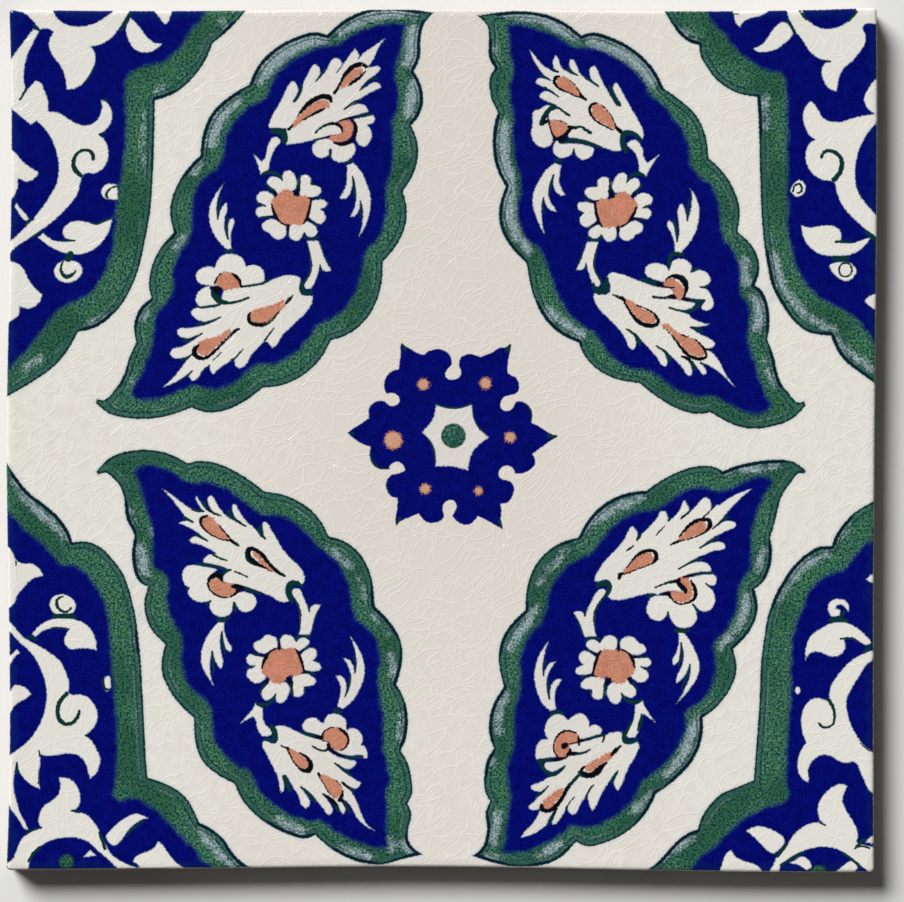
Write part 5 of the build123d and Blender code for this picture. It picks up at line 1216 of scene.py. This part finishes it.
ahead = np.roll(edge, -1, axis=0) - np.roll(edge, 1, axis=0)
ahead /= np.linalg.norm(ahead, axis=1)[:, None]
outward = np.c_[ahead[:, 1], -ahead[:, 0]]
faceEdge = edge - outward * tile["arris"]


def signedTo(points, loop, limit=3.0):
    # distance to a loop in mm, positive inside, from a thin wall stood on the loop
    out = np.full(len(points), -limit)
    low, high = loop.min(0) - limit, loop.max(0) + limit
    near = np.nonzero(((points > low) & (points < high)).all(1))[0]
    near = near[np.argsort(points[near, 1])]
    if not len(near):
        return out
    count = len(loop)
    posts = [(x, y, z) for z in (-1, 1) for x, y in loop]
    panels = [(k, (k + 1) % count, (k + 1) % count + count, k + count) for k in range(count)]
    wall = BVHTree.FromPolygons(posts, panels)
    found = [wall.find_nearest((x, y, 0), limit)[3] for x, y in points[near].tolist()]
    away = np.array([limit if d is None else d for d in found])
    level, across = points[near, 1], points[near, 0]
    inside = np.zeros(len(near), bool)
    for (ax, ay), (bx, by) in zip(loop.tolist(), np.roll(loop, -1, axis=0).tolist()):
        if ay != by:
            first, last = np.searchsorted(level, sorted((ay, by)))
            inside[first:last] ^= across[first:last] < ax + (level[first:last] - ay) * (bx - ax) / (by - ay)
    out[near] = np.where(inside, away, -away)
    return out


def ridgeOf(points, strokes, limit=3.0):
    # half a stroke's width less the distance from its middle, the largest of all strokes
    out = np.full(len(points), -limit)
    for stroke in strokes:
        path, width = stroke[:, :2], stroke[:, 2]
        low, high = path.min(0) - limit, path.max(0) + limit
        near = np.nonzero(((points > low) & (points < high)).all(1))[0]
        if not len(near):
            continue
        a, run = path[:-1], np.diff(path, axis=0)
        away = points[near][:, None, :] - a
        t = np.clip((away * run).sum(2) / ((run ** 2).sum(1) + 1e-12), 0, 1)
        d = np.sqrt(((away - t[..., None] * run) ** 2).sum(2))
        half = (width[:-1] + t * np.diff(width)) / 2
        out[near] = np.maximum(out[near], (half - d).max(1))
    return out


# points for the face: outlines first, then a row each side of them, then an even field
class Bed:
    def __init__(self, cell=0.5):
        self.cell, self.cells, self.points = cell, {}, []

    def near(self, p, apart):
        cx, cy = int(p[0] // self.cell), int(p[1] // self.cell)
        span = int(apart // self.cell) + 1
        best, found = apart * apart, -1
        for i in range(cx - span, cx + span + 1):
            for j in range(cy - span, cy + span + 1):
                for k in self.cells.get((i, j), ()):
                    q = self.points[k]
                    d = (q[0] - p[0]) ** 2 + (q[1] - p[1]) ** 2
                    if d < best:
                        best, found = d, k
        return found

    def add(self, p, apart):
        found = self.near(p, apart)
        if found < 0:
            found = len(self.points)
            self.points.append((float(p[0]), float(p[1])))
            self.cells.setdefault((int(p[0] // self.cell), int(p[1] // self.cell)), []).append(found)
        return found


def resample(path, step, closed):
    if closed:
        path = np.r_[path, path[:1]]
    along = np.r_[0, np.cumsum(np.linalg.norm(np.diff(path, axis=0), axis=1))]
    count = max(3, int(round(along[-1] / step)))
    spots = np.linspace(0, along[-1], count + 1)
    out = np.c_[[np.interp(spots, along, path[:, k]) for k in (0, 1)]].T
    return out[:-1] if closed else out


def insideBy(points, inset):
    return signedTo(points, faceEdge, faceNet["edgeReach"]) > inset


bed = Bed()
links = set()
edgeIds = [bed.add(p, faceNet["edgeGap"]) for p in faceEdge]
links.update(zip(edgeIds, edgeIds[1:] + edgeIds[:1]))
rows = []
for kind, loops in shapes.items():
    if kind == "wear":
        continue
    isLine = kind == "line"
    for loop in loops:
        path = resample(loop[:, :2], faceNet["outlineStep"], not isLine)
        safe = insideBy(path, faceNet["outlineInset"])
        ids = [bed.add(p, faceNet["outlineGap"]) if ok else -1 for p, ok in zip(path, safe)]
        pairs = list(zip(ids, ids[1:] if isLine else ids[1:] + ids[:1]))
        links.update(tuple(sorted(p)) for p in pairs if min(p) >= 0 and p[0] != p[1])
        if isLine:
            tangent = np.gradient(path, axis=0)
        else:
            tangent = np.roll(path, -1, axis=0) - np.roll(path, 1, axis=0)
        tangent /= np.linalg.norm(tangent, axis=1)[:, None] + 1e-9
        beside = np.c_[tangent[:, 1], -tangent[:, 0]] * faceNet["besideOffset"]
        rows += [(path + beside)[safe], (path - beside)[safe]]
outlineCount = len(bed.points)
for row in rows:
    for p, ok in zip(row, insideBy(row, faceNet["outlineInset"]) if len(row) else ()):
        if ok:
            bed.add(p, faceNet["besideGap"])
half, gridStep = faceNet["half"], faceNet["grid"]
rowShare = 0.866  # height of a triangle with even sides
evenField = []
for j in range(int(2 * half / (gridStep * rowShare))):
    y = -half + j * gridStep * rowShare
    evenField += [(-half + (i + 0.5 * (j % 2)) * gridStep, y) for i in range(int(2 * half / gridStep))]
evenField = np.array(evenField)
for p in evenField[insideBy(evenField, faceNet["gridInset"])]:
    bed.add(p, faceNet["gridGap"])
print("face points", len(bed.points), "of them on outlines", outlineCount)

# how far out each distance is needed, in mm
reach = dict(white=1.5, cut=1.5, extra=1.5, salmon=2.5, eye=1.5, dot=2.0, cobalt=2.0, band=3.0)


def distancesAt(flat):
    # every point's distance to each kind of outline
    def largest(kind):
        return np.max([signedTo(flat, loop, reach[kind]) for loop in shapes[kind]], axis=0)

    white = largest("white")
    for loop in shapes["cut"]:
        white = np.minimum(white, -signedTo(flat, loop, reach["cut"]))
    out = dict(white=np.maximum(white, largest("extra")))
    for kind in ("band", "cobalt", "salmon", "dot", "eye"):
        out[kind] = largest(kind)
    out["line"] = ridgeOf(flat, shapes["line"])
    return out


def layFace():
    made = delaunay_2d_cdt([Vector(p) for p in bed.points], sorted(links), [], 0, 1e-5)
    points = np.array([v[:] for v in made[0]])
    tris = np.array([f for f in made[2] if len(f) == 3])
    tris = tris[insideBy(points[tris].mean(1), 0)]
    return points, tris, {old: k for k, olds in enumerate(made[3]) for old in olds}


# add points where a triangle's corners miss an outline that runs through it
for again in range(faceNet["refine"]):
    facePoints, faceTris, newId = layFace()
    middle = facePoints[faceTris].mean(1)
    atCorner, atMiddle = distancesAt(facePoints), distancesAt(middle)
    miss = np.zeros(len(middle))
    for kind, there in atMiddle.items():
        gap = np.abs(there - atCorner[kind][faceTris].mean(1))
        miss = np.maximum(miss, np.where(np.abs(there) < faceNet["missReach"], gap, 0))
    poor = np.argsort(-miss)[:faceNet["spare"]]
    poor = poor[miss[poor] > faceNet["missLeast"]]
    for p in middle[poor]:
        bed.add(p, faceNet["missGap"])
    print("points added where outlines were missed:", len(poor))
facePoints, faceTris, newId = layFace()
edgeRing = [newId[k] for k in edgeIds]
print("face triangles", len(faceTris))

# rolled arris, sides and back as rings below the face: inset and height
count = len(edge)
rings = []
for angle in (60, 30, 0):
    a = math.radians(angle)
    rings.append((tile["arris"] * (1 - math.cos(a)), topZ - tile["arris"] * (1 - math.sin(a))))
rings += [*tile["sideRings"], (0.0, tile["backBevel"]), (tile["backBevel"], 0.0)]
# slow and quick waves over the face, in mm, fading out at its edge
waves = dict(slowX=31, slowY=27, quickX=9, quickY=17, slowShare=0.75, fade=3.0)
faceX, faceY = facePoints.T
slow = (np.sin(faceX / waves["slowX"] + 0.7) * np.sin(faceY / waves["slowY"] - 0.4) + 1) / 2
quick = (np.sin(faceX / waves["quickX"] + 2 * np.sin(faceY / waves["quickY"])) + 1) / 2
inEdge = np.clip(signedTo(facePoints, faceEdge, waves["fade"]) / waves["fade"], 0, 1)
depth = tile["waviness"] * inEdge * (waves["slowShare"] * slow + (1 - waves["slowShare"]) * quick)
verts = [np.c_[facePoints, topZ - depth]]
ringIds = [edgeRing]
base = len(facePoints)
for inset, z in rings:
    verts.append(np.c_[edge - outward * inset, np.full(count, z)])
    ringIds.append(list(range(base, base + count)))
    base += count
backLoop = edge - outward * rings[-1][0]
backNet = dict(half=96, step=8.0, inset=1.0)
backSteps = np.arange(-backNet["half"], backNet["half"] + 1, backNet["step"])
backGrid = np.array([(x, y) for x in backSteps for y in backSteps])
backGrid = backGrid[signedTo(backGrid, backLoop) > backNet["inset"]]
backIn = [Vector(p) for p in np.r_[backLoop, backGrid]]
backMade = delaunay_2d_cdt(backIn, [(k, (k + 1) % count) for k in range(count)], [], 0, 1e-5)
backPoints = np.array([v[:] for v in backMade[0]])
backId = {}
for k, olds in enumerate(backMade[3]):
    for old in olds:
        backId[k] = ringIds[-1][old] if old < count else base + old - count
verts.append(np.c_[backGrid, np.zeros(len(backGrid))])
backTris = np.array([f for f in backMade[2] if len(f) == 3])
backTris = backTris[signedTo(backPoints[backTris].mean(1), backLoop) > 0]
verts = np.concatenate(verts)
polys = [tuple(t) for t in faceTris]
for upper, lower in zip(ringIds, ringIds[1:]):
    for k in range(count):
        n = (k + 1) % count
        polys.append((upper[k], lower[k], lower[n], upper[n]))
sideEnd = len(polys)
polys += [tuple(backId[k] for k in reversed(t)) for t in backTris]

mesh = bpy.data.meshes.new("glazedTile")
mesh.from_pydata((verts * mm).tolist(), [], polys)
mesh.validate()
glazedTile = bpy.data.objects.new("glazed_tile", mesh)
scene.collection.objects.link(glazedTile)
mesh.polygons.foreach_set("use_smooth", np.ones(len(mesh.polygons), bool))
triangleCount = sum(len(p.vertices) - 2 for p in mesh.polygons)
print("tile mesh", len(mesh.vertices), "points,", triangleCount, "triangles")

# the distances go with the mesh, one layer for each kind
flat = verts[:, :2]
fields = distancesAt(flat)
fields["wear"] = ridgeOf(flat, shapes["wear"])
fields["edge"] = signedTo(flat, faceEdge)
isBack = np.zeros(len(verts), bool)
isBack[ringIds[-1][0]:] = True
fields["glazed"] = np.where(isBack, -3.0, np.clip(verts[:, 2] - tile["glazeLine"], -3, 3))
fields["rim"] = np.clip((topZ - verts[:, 2] - tile["waviness"]) / tile["arris"], 0, 1)
for name, values in fields.items():
    layer = mesh.attributes.new(name, "FLOAT", "POINT")
    layer.data.foreach_set("value", values.astype(np.float32))
print("outline distances stored:", sorted(fields))

# picture map: face large, sides and back in the margins
pictureMap = dict(margin=0.004, face=0.86, sidesFrom=0.876, sideGap=0.031, ringGap=0.0033,
                  sideScale=0.0042, backScale=0.0005)
mapLayer = mesh.uv_layers.new(name="OFBake")
coords = np.zeros((len(mesh.loops), 2))
margin, sidesFrom = pictureMap["margin"], pictureMap["sidesFrom"]
faceScale = pictureMap["face"] / (2 * half)
run = np.r_[0, np.cumsum(np.linalg.norm(np.diff(np.r_[edge, edge[:1]], axis=0), axis=1))]
quarterLength = run[-1] / 4
for poly in mesh.polygons:
    for corner, loopIndex in enumerate(poly.loop_indices):
        across, up = verts[mesh.loops[loopIndex].vertex_index, :2] + half
        if poly.index < len(faceTris):
            coords[loopIndex] = margin + across * faceScale, margin + up * faceScale
        elif poly.index < sideEnd:
            ring, k = divmod(poly.index - len(faceTris), count)
            ring += corner in (1, 2)
            strip = min(3, int(run[k] / quarterLength))
            along = run[k + 1] if corner in (2, 3) else run[k]
            left = sidesFrom + strip * pictureMap["sideGap"] + ring * pictureMap["ringGap"]
            coords[loopIndex] = left, margin + (along - strip * quarterLength) * pictureMap["sideScale"]
        else:
            coords[loopIndex] = margin + across * faceScale, sidesFrom + up * pictureMap["backScale"]
mapLayer.data.foreach_set("uv", coords.ravel())
print("picture map laid out")


def linear(r, g, b):
    part = [c / 255 for c in (r, g, b)]
    return [c / 12.92 if c <= 0.04045 else ((c + 0.055) / 1.055) ** 2.4 for c in part] + [1]


class Shade:
    # shorthand for joining shader nodes
    def __init__(self, material):
        material.use_nodes = True
        self.tree = material.node_tree
        self.tree.nodes.clear()

    def put(self, kind, inputs=None, **settings):
        node = self.tree.nodes.new(kind)
        for key, value in settings.items():
            setattr(node, key, value)
        for key, value in (inputs or {}).items():
            if isinstance(value, bpy.types.NodeSocket):
                self.tree.links.new(value, node.inputs[key])
            else:
                node.inputs[key].default_value = value
        return node

    def field(self, name):
        return self.put("ShaderNodeAttribute", attribute_name=name).outputs["Fac"]

    def calc(self, how, *values):
        return self.put("ShaderNodeMath", dict(enumerate(values)), operation=how).outputs[0]

    def step(self, value, low, high, start=0.0, end=1.0):
        names = ("Value", "From Min", "From Max", "To Min", "To Max")
        values = dict(zip(names, (value, low, high, start, end)))
        return self.put("ShaderNodeMapRange", values, interpolation_type="SMOOTHSTEP").outputs[0]

    def noise(self, vector, scale, detail, rough=0.5):
        values = {"Vector": vector, "Scale": scale, "Detail": detail, "Roughness": rough}
        return self.put("ShaderNodeTexNoise", values, noise_dimensions="2D").outputs["Fac"]

    def cracks(self, vector, scale):
        values = {"Vector": vector, "Scale": scale}
        kind = dict(feature="DISTANCE_TO_EDGE", voronoi_dimensions="2D")
        return self.put("ShaderNodeTexVoronoi", values, **kind).outputs["Distance"]

    def mix(self, share, first, second):
        return self.put("ShaderNodeMix", {0: share, 6: first, 7: second}, data_type="RGBA").outputs[2]


# what each glaze and clay looks like, as screen colours
glazeColors = dict(
    # the crack colour is partly the crazing's own paler line and partly painted highlight where the raised
    # cracks catch the light
    cream=(229, 226, 217), creamWarm=(221, 214, 204), crackPaleAndHighlight=(244, 241, 234), creamBlue=(198, 206, 210),
    white=(219, 215, 208), whiteBright=(227, 224, 216), whiteBlue=(190, 198, 232), green=(54, 106, 90),
    greenDark=(7, 48, 42), greenLight=(122, 156, 138), greenFresh=(60, 115, 78), strip=(60, 102, 92),
    outline=(6, 32, 46), outlineGreen=(8, 42, 42), worn=(122, 146, 152), wornPale=(192, 204, 208),
    meeting=(62, 108, 108), cobalt=(1, 6, 107), cobaltDeep=(0, 2, 95), cobaltPale=(24, 38, 130),
    salmon=(206, 140, 113), salmonDeep=(184, 119, 94), salmonPale=(217, 158, 131), blush=(228, 130, 116),
    ink=(10, 12, 20), inkGreen=(10, 52, 50), clay=(196, 170, 146), clayDark=(160, 132, 108),
    rimPale=(214, 208, 198), rimBrown=(138, 108, 98), edgeBlue=(12, 44, 78), tan=(198, 148, 116),
    tanDeep=(136, 94, 78), tanPink=(216, 162, 144),
)
glaze = {name: linear(*color) for name, color in glazeColors.items()}
material = bpy.data.materials.new("glazedClay")
glazing = Shade(material)
put, field, calc, step = glazing.put, glazing.field, glazing.calc, glazing.step
noise, cracks, mix = glazing.noise, glazing.cracks, glazing.mix
place = put("ShaderNodeTexCoord").outputs["Object"]
inMm = put("ShaderNodeVectorMath", {0: place, "Scale": 1 / mm}, operation="SCALE").outputs[0]
axes = put("ShaderNodeSeparateXYZ", {0: inMm}).outputs
# depth is added to both ways across, so that flat noise also runs down the sides
acrossX, acrossY = (calc("MULTIPLY_ADD", axes[2], share, axes[k]) for k, share in ((0, 0.8), (1, 0.6)))
spot = put("ShaderNodeCombineXYZ", {0: acrossX, 1: acrossY}).outputs[0]
# noises that the glaze is broken up by: scale a mm, detail, roughness
grain = dict(ragged=(1.7, 1.0), grainy=(3.4, 1.0), mottle=(1.9, 2.0, 0.8), cloud=(0.4, 1.0),
             patch=(0.055, 1.0), wide=(0.014, 1.0))
ragged, grainy, mottle, cloud, patch, wide = (noise(spot, *values) for values in grain.values())

band, cobaltIn, whiteIn = field("band"), field("cobalt"), field("white")
salmonIn, lineIn, wearIn = field("salmon"), field("line"), field("wear")
eyeIn, glazedIn, rimIn = field("eye"), field("glazed"), field("rim")
dotIn, edgeIn = field("dot"), field("edge")


def wobble(value, unrest, amount):
    shift = calc("MULTIPLY_ADD", unrest, amount * 2, -amount)
    return calc("ADD", value, shift)


def times(*values):
    out = values[0]
    for value in values[1:]:
        out = calc("MULTIPLY", out, value)
    return out


def ridge(value, middle, half):
    return times(step(value, middle - half, middle), step(value, middle + half, middle))


greenShare = step(wobble(band, ragged, 0.18), -0.16, 0.16)
eyeShare = step(wobble(eyeIn, ragged, 0.3), -0.2, 0.2)
inBand = step(band, -0.4, 0.2)
soft = step(wobble(wobble(cobaltIn, grainy, 0.7), cloud, 0.5), -0.75, 0.6)
crisp = step(wobble(cobaltIn, ragged, 0.15), -0.16, 0.16)
cobaltShare = calc("ADD", times(soft, inBand), times(crisp, calc("SUBTRACT", 1.0, inBand)))
whiteShare = step(wobble(whiteIn, ragged, 0.22), -0.22, 0.22)
salmonShare = step(wobble(salmonIn, ragged, 0.5), -0.42, 0.05)
lineShare = step(wobble(lineIn, ragged, 0.2), -0.1, 0.14)

# cream glaze with its net of fine cracks, their pale lines partly the crazing's own colour and partly painted
# highlight of the raised cracks
crackle = dict(turn=0.84, stretch=2.0, bendMm=9.0, bendScale=0.09, wide=0.33, fine=0.62, height=0.03,
               paleAndHighlight=0.24)
swirl = {"Vector": spot, "Scale": crackle["bendScale"], "Detail": 1.0, "Roughness": 0.5}
bend = put("ShaderNodeTexNoise", swirl, noise_dimensions="2D").outputs["Color"]
bendSize = (crackle["bendMm"], crackle["bendMm"], 0.0)
bentSpot = put("ShaderNodeVectorMath", {0: bend, 1: bendSize, 2: spot}, operation="MULTIPLY_ADD").outputs[0]
lean = {"Vector": bentSpot, "Rotation": (0, 0, crackle["turn"]), "Scale": (crackle["stretch"], 1.0, 1.0)}
slant = put("ShaderNodeMapping", lean, vector_type="TEXTURE").outputs[0]
wideCracks = step(cracks(slant, crackle["wide"]), 0.07, 0.0)
fineCracks = step(cracks(slant, crackle["fine"]), 0.14, 0.0)
someFine = step(noise(spot, 0.15, 0.0), 0.35, 0.6, 0.0, 0.8)
crackLine = calc("MAXIMUM", wideCracks, times(fineCracks, someFine))
# the ground is warmer in the middle: where it starts and ends to the sides and downwards
warmth = dict(sideways=(12.0, 62.0), downwards=(-5.0, -75.0, 0.0, 0.7))
sideways = step(calc("ABSOLUTE", axes[0]), *warmth["sideways"])
downwards = step(axes[1], *warmth["downwards"])
fromMiddle = calc("MAXIMUM", sideways, downwards)
cream = mix(wobble(fromMiddle, wide, 0.3), glaze["creamWarm"], glaze["cream"])
cream = mix(times(step(cloud, 0.35, 0.7), 0.4), cream, glaze["creamWarm"])
cream = mix(times(step(band, -0.8, -0.1), 0.55), cream, glaze["creamBlue"])
white = mix(sideways, glaze["white"], glaze["whiteBright"])
white = mix(times(step(whiteIn, 0.4, 0.0), 0.6), white, glaze["whiteBlue"])
cream = mix(whiteShare, cream, white)
# crack lines painted paler: partly the crazing's own colour, partly painted highlight of the raised cracks
# catching the light
cream = mix(times(crackLine, crackle["paleAndHighlight"]), cream, glaze["crackPaleAndHighlight"])

# green band: dark outline, paler strip, thin second line, worn places
freshShare = times(step(band, 1.0, 2.8), step(cloud, 0.3, 0.6, 0.2, 0.9))
green = mix(freshShare, glaze["green"], glaze["greenFresh"])
green = mix(step(mottle, 0.38, 0.52), glaze["greenDark"], green)
green = mix(times(step(mottle, 0.55, 0.74), step(patch, 0.3, 0.6, 0.3, 0.9)), green, glaze["greenLight"])
green = mix(times(step(patch, 0.54, 0.36), 0.35), green, glaze["greenDark"])
plainGreen = green
stripShare = times(step(band, 0.45, 0.75), step(wobble(band, ragged, 0.3), 1.5, 1.1))
green = mix(times(stripShare, 0.4), green, glaze["strip"])
wornShare = step(wobble(wobble(wearIn, mottle, 0.8), cloud, 0.8), -0.8, 0.7)
wornColor = mix(step(mottle, 0.42, 0.68), glaze["worn"], glaze["wornPale"])
green = mix(times(wornShare, step(grainy, 0.25, 0.6, 0.55, 1.0)), green, wornColor)
secondLine = times(ridge(wobble(band, ragged, 0.25), 1.45, 0.32), step(patch, 0.36, 0.5))
paleLine = times(ridge(wobble(band, ragged, 0.3), 1.85, 0.4), step(noise(spot, 0.13, 1.0), 0.5, 0.6))
green = mix(times(paleLine, step(grainy, 0.4, 0.62), 0.25), green, glaze["wornPale"])
green = mix(times(secondLine, 0.75), green, glaze["outlineGreen"])
meeting = ridge(wobble(cobaltIn, grainy, 0.5), -0.8, 0.5)
green = mix(times(meeting, step(mottle, 0.4, 0.6), 0.5), green, glaze["meeting"])
borderEdge = step(wearIn, -2.6, -0.6, 0.4, 0.8)
borderIn = calc("SUBTRACT", wobble(band, ragged, 0.18), borderEdge)
borderShare = step(borderIn, 0.18, -0.1)
borderColor = mix(step(wearIn, -2.4, -0.8), glaze["outlineGreen"], glaze["outline"])
green = mix(borderShare, green, borderColor)

cobalt = mix(step(cloud, 0.35, 0.65), glaze["cobalt"], glaze["cobaltDeep"])
cobalt = mix(times(step(grainy, 0.5, 0.75), 0.55), cobalt, glaze["cobaltPale"])
cobalt = mix(times(step(whiteIn, -0.5, -0.15), 0.45), cobalt, glaze["cobaltDeep"])
cobalt = mix(times(step(wobble(edgeIn, cloud, 1.2), 1.8, 0.4), 0.25), cobalt, glaze["edgeBlue"])

notWhite = calc("SUBTRACT", 1.0, whiteShare)
body = mix(times(greenShare, notWhite), cream, green)
body = mix(times(cobaltShare, notWhite), body, cobalt)
body = mix(eyeShare, body, plainGreen)
body = mix(times(ridge(eyeIn, 0.1, 0.4), 0.6), body, glaze["outlineGreen"])
salmon = mix(step(mottle, 0.34, 0.56), glaze["salmonDeep"], glaze["salmon"])
salmon = mix(step(mottle, 0.58, 0.74), salmon, glaze["salmonPale"])
salmon = mix(times(step(cloud, 0.55, 0.3), 0.55), salmon, glaze["salmonDeep"])
# pinker hearts of two rosettes
blush = dict(places=((41.3, 54.4), (-37.7, -52.3)), radius=2.8, core=0.4, share=0.35)
for x, y in blush["places"]:
    away = put("ShaderNodeVectorMath", {0: inMm, 1: (x, y, topZ)}, operation="DISTANCE").outputs["Value"]
    salmon = mix(times(step(away, blush["radius"], blush["core"]), blush["share"]), salmon, glaze["blush"])
body = mix(salmonShare, body, salmon)
dotShare = step(wobble(wobble(dotIn, ragged, 0.7), grainy, 0.15), -0.14, 0.14)
dotColor = mix(step(mottle, 0.45, 0.6), glaze["tan"], glaze["tanPink"])
dotColor = mix(step(wobble(dotIn, grainy, 0.5), 0.1, 0.5), glaze["tanDeep"], dotColor)
body = mix(dotShare, body, dotColor)
inkColor = mix(step(salmonIn, -2.1, -1.3), glaze["inkGreen"], glaze["ink"])
body = mix(lineShare, body, inkColor)
rimShare = times(step(wobble(rimIn, ragged, 0.5), 0.15, 0.85), step(rimIn, 0.02, 0.2))
bareRim = dict(sideways=(-52.0, -66.0), downwards=(-97.4, -98.4))  # where the glaze is worn off the rim
bareCorner = times(step(axes[0], *bareRim["sideways"]), step(axes[1], *bareRim["downwards"]))
rimColor = mix(bareCorner, glaze["rimPale"], glaze["rimBrown"])
body = mix(calc("MAXIMUM", rimShare, times(bareCorner, step(rimIn, 0.0, 0.1))), body, rimColor)
clay = mix(noise(spot, 0.8, 2.0, 0.6), glaze["clay"], glaze["clayDark"])
glazedShare = step(wobble(glazedIn, cloud, 2.2), -0.15, 0.15)
body = mix(glazedShare, clay, body)

roughness = dict(clay=0.85, glaze=0.16)
rough = step(glazedShare, 0.0, 1.0, roughness["clay"], roughness["glaze"])
bare = times(step(band, 0.0, -0.3), step(cobaltIn, 0.0, -0.3))
bare = calc("MAXIMUM", bare, step(whiteIn, 0.1, 0.4))
relief = {"Height": times(crackLine, bare), "Distance": crackle["height"] * mm}
bump = put("ShaderNodeBump", relief).outputs[0]
surface = put("ShaderNodeBsdfPrincipled", {"Base Color": body, "Roughness": rough, "Normal": bump})
put("ShaderNodeOutputMaterial", {"Surface": surface.outputs[0]})
mesh.materials.append(material)
print("glaze mixed")

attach(glazedTile, "root")
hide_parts("tile")

# pale floor
floorLook = dict(size=3.0, color=(222, 222, 220), rough=0.9, below=0.0001)
floorMesh = bpy.data.meshes.new("floor")
reachOut = floorLook["size"] / 2
sheet = [(x * reachOut, y * reachOut, 0) for x, y in ((-1, -1), (1, -1), (1, 1), (-1, 1))]
floorMesh.from_pydata(sheet, [], [(0, 1, 2, 3)])
floor = bpy.data.objects.new("floor", floorMesh)
floor.location.z = -floorLook["below"]
scene.collection.objects.link(floor)
floorMaterial = bpy.data.materials.new("paleFloor")
flooring = Shade(floorMaterial)
coat = {"Base Color": linear(*floorLook["color"]), "Roughness": floorLook["rough"]}
paint = flooring.put("ShaderNodeBsdfPrincipled", coat)
flooring.put("ShaderNodeOutputMaterial", {"Surface": paint.outputs[0]})
floorMesh.materials.append(floorMaterial)

# one soft lamp from the upper left, a little light from all round
light = dict(elevation=40.3, towardX=-0.714, towardY=0.912, spread=30, key=4.55, fill=0.062,
             sheenLow=0.22, sheenHigh=0.012, sheenTop=0.85)
lamp = bpy.data.lights.new("softLamp", "SUN")
lamp.energy = light["key"]
lamp.angle = math.radians(light["spread"])
lampObject = bpy.data.objects.new("softLamp", lamp)
scene.collection.objects.link(lampObject)
level = math.hypot(light["towardX"], light["towardY"])
steep = math.tan(math.radians(light["elevation"]))
toward = Vector((light["towardX"] / level, light["towardY"] / level, steep))
lampObject.rotation_mode = "QUATERNION"
lampObject.rotation_quaternion = toward.to_track_quat("Z", "Y")
world = bpy.data.worlds.new("room")
scene.world = world
world.use_nodes = True
room = Shade(world)
glossy = room.put("ShaderNodeLightPath").outputs["Is Glossy Ray"]
ray = room.put("ShaderNodeTexCoord").outputs["Generated"]
height = room.put("ShaderNodeSeparateXYZ", {0: ray}).outputs["Z"]
sheen = room.step(height, 0.0, light["sheenTop"], light["sheenLow"], light["sheenHigh"])
dim = room.calc("MULTIPLY_ADD", glossy, -light["fill"], light["fill"])
glow = room.calc("MULTIPLY_ADD", sheen, glossy, dim)
sky = room.put("ShaderNodeBackground", {"Color": (1, 1, 1, 1), "Strength": glow})
room.put("ShaderNodeOutputWorld", {"Surface": sky.outputs[0]})
print("lights on")
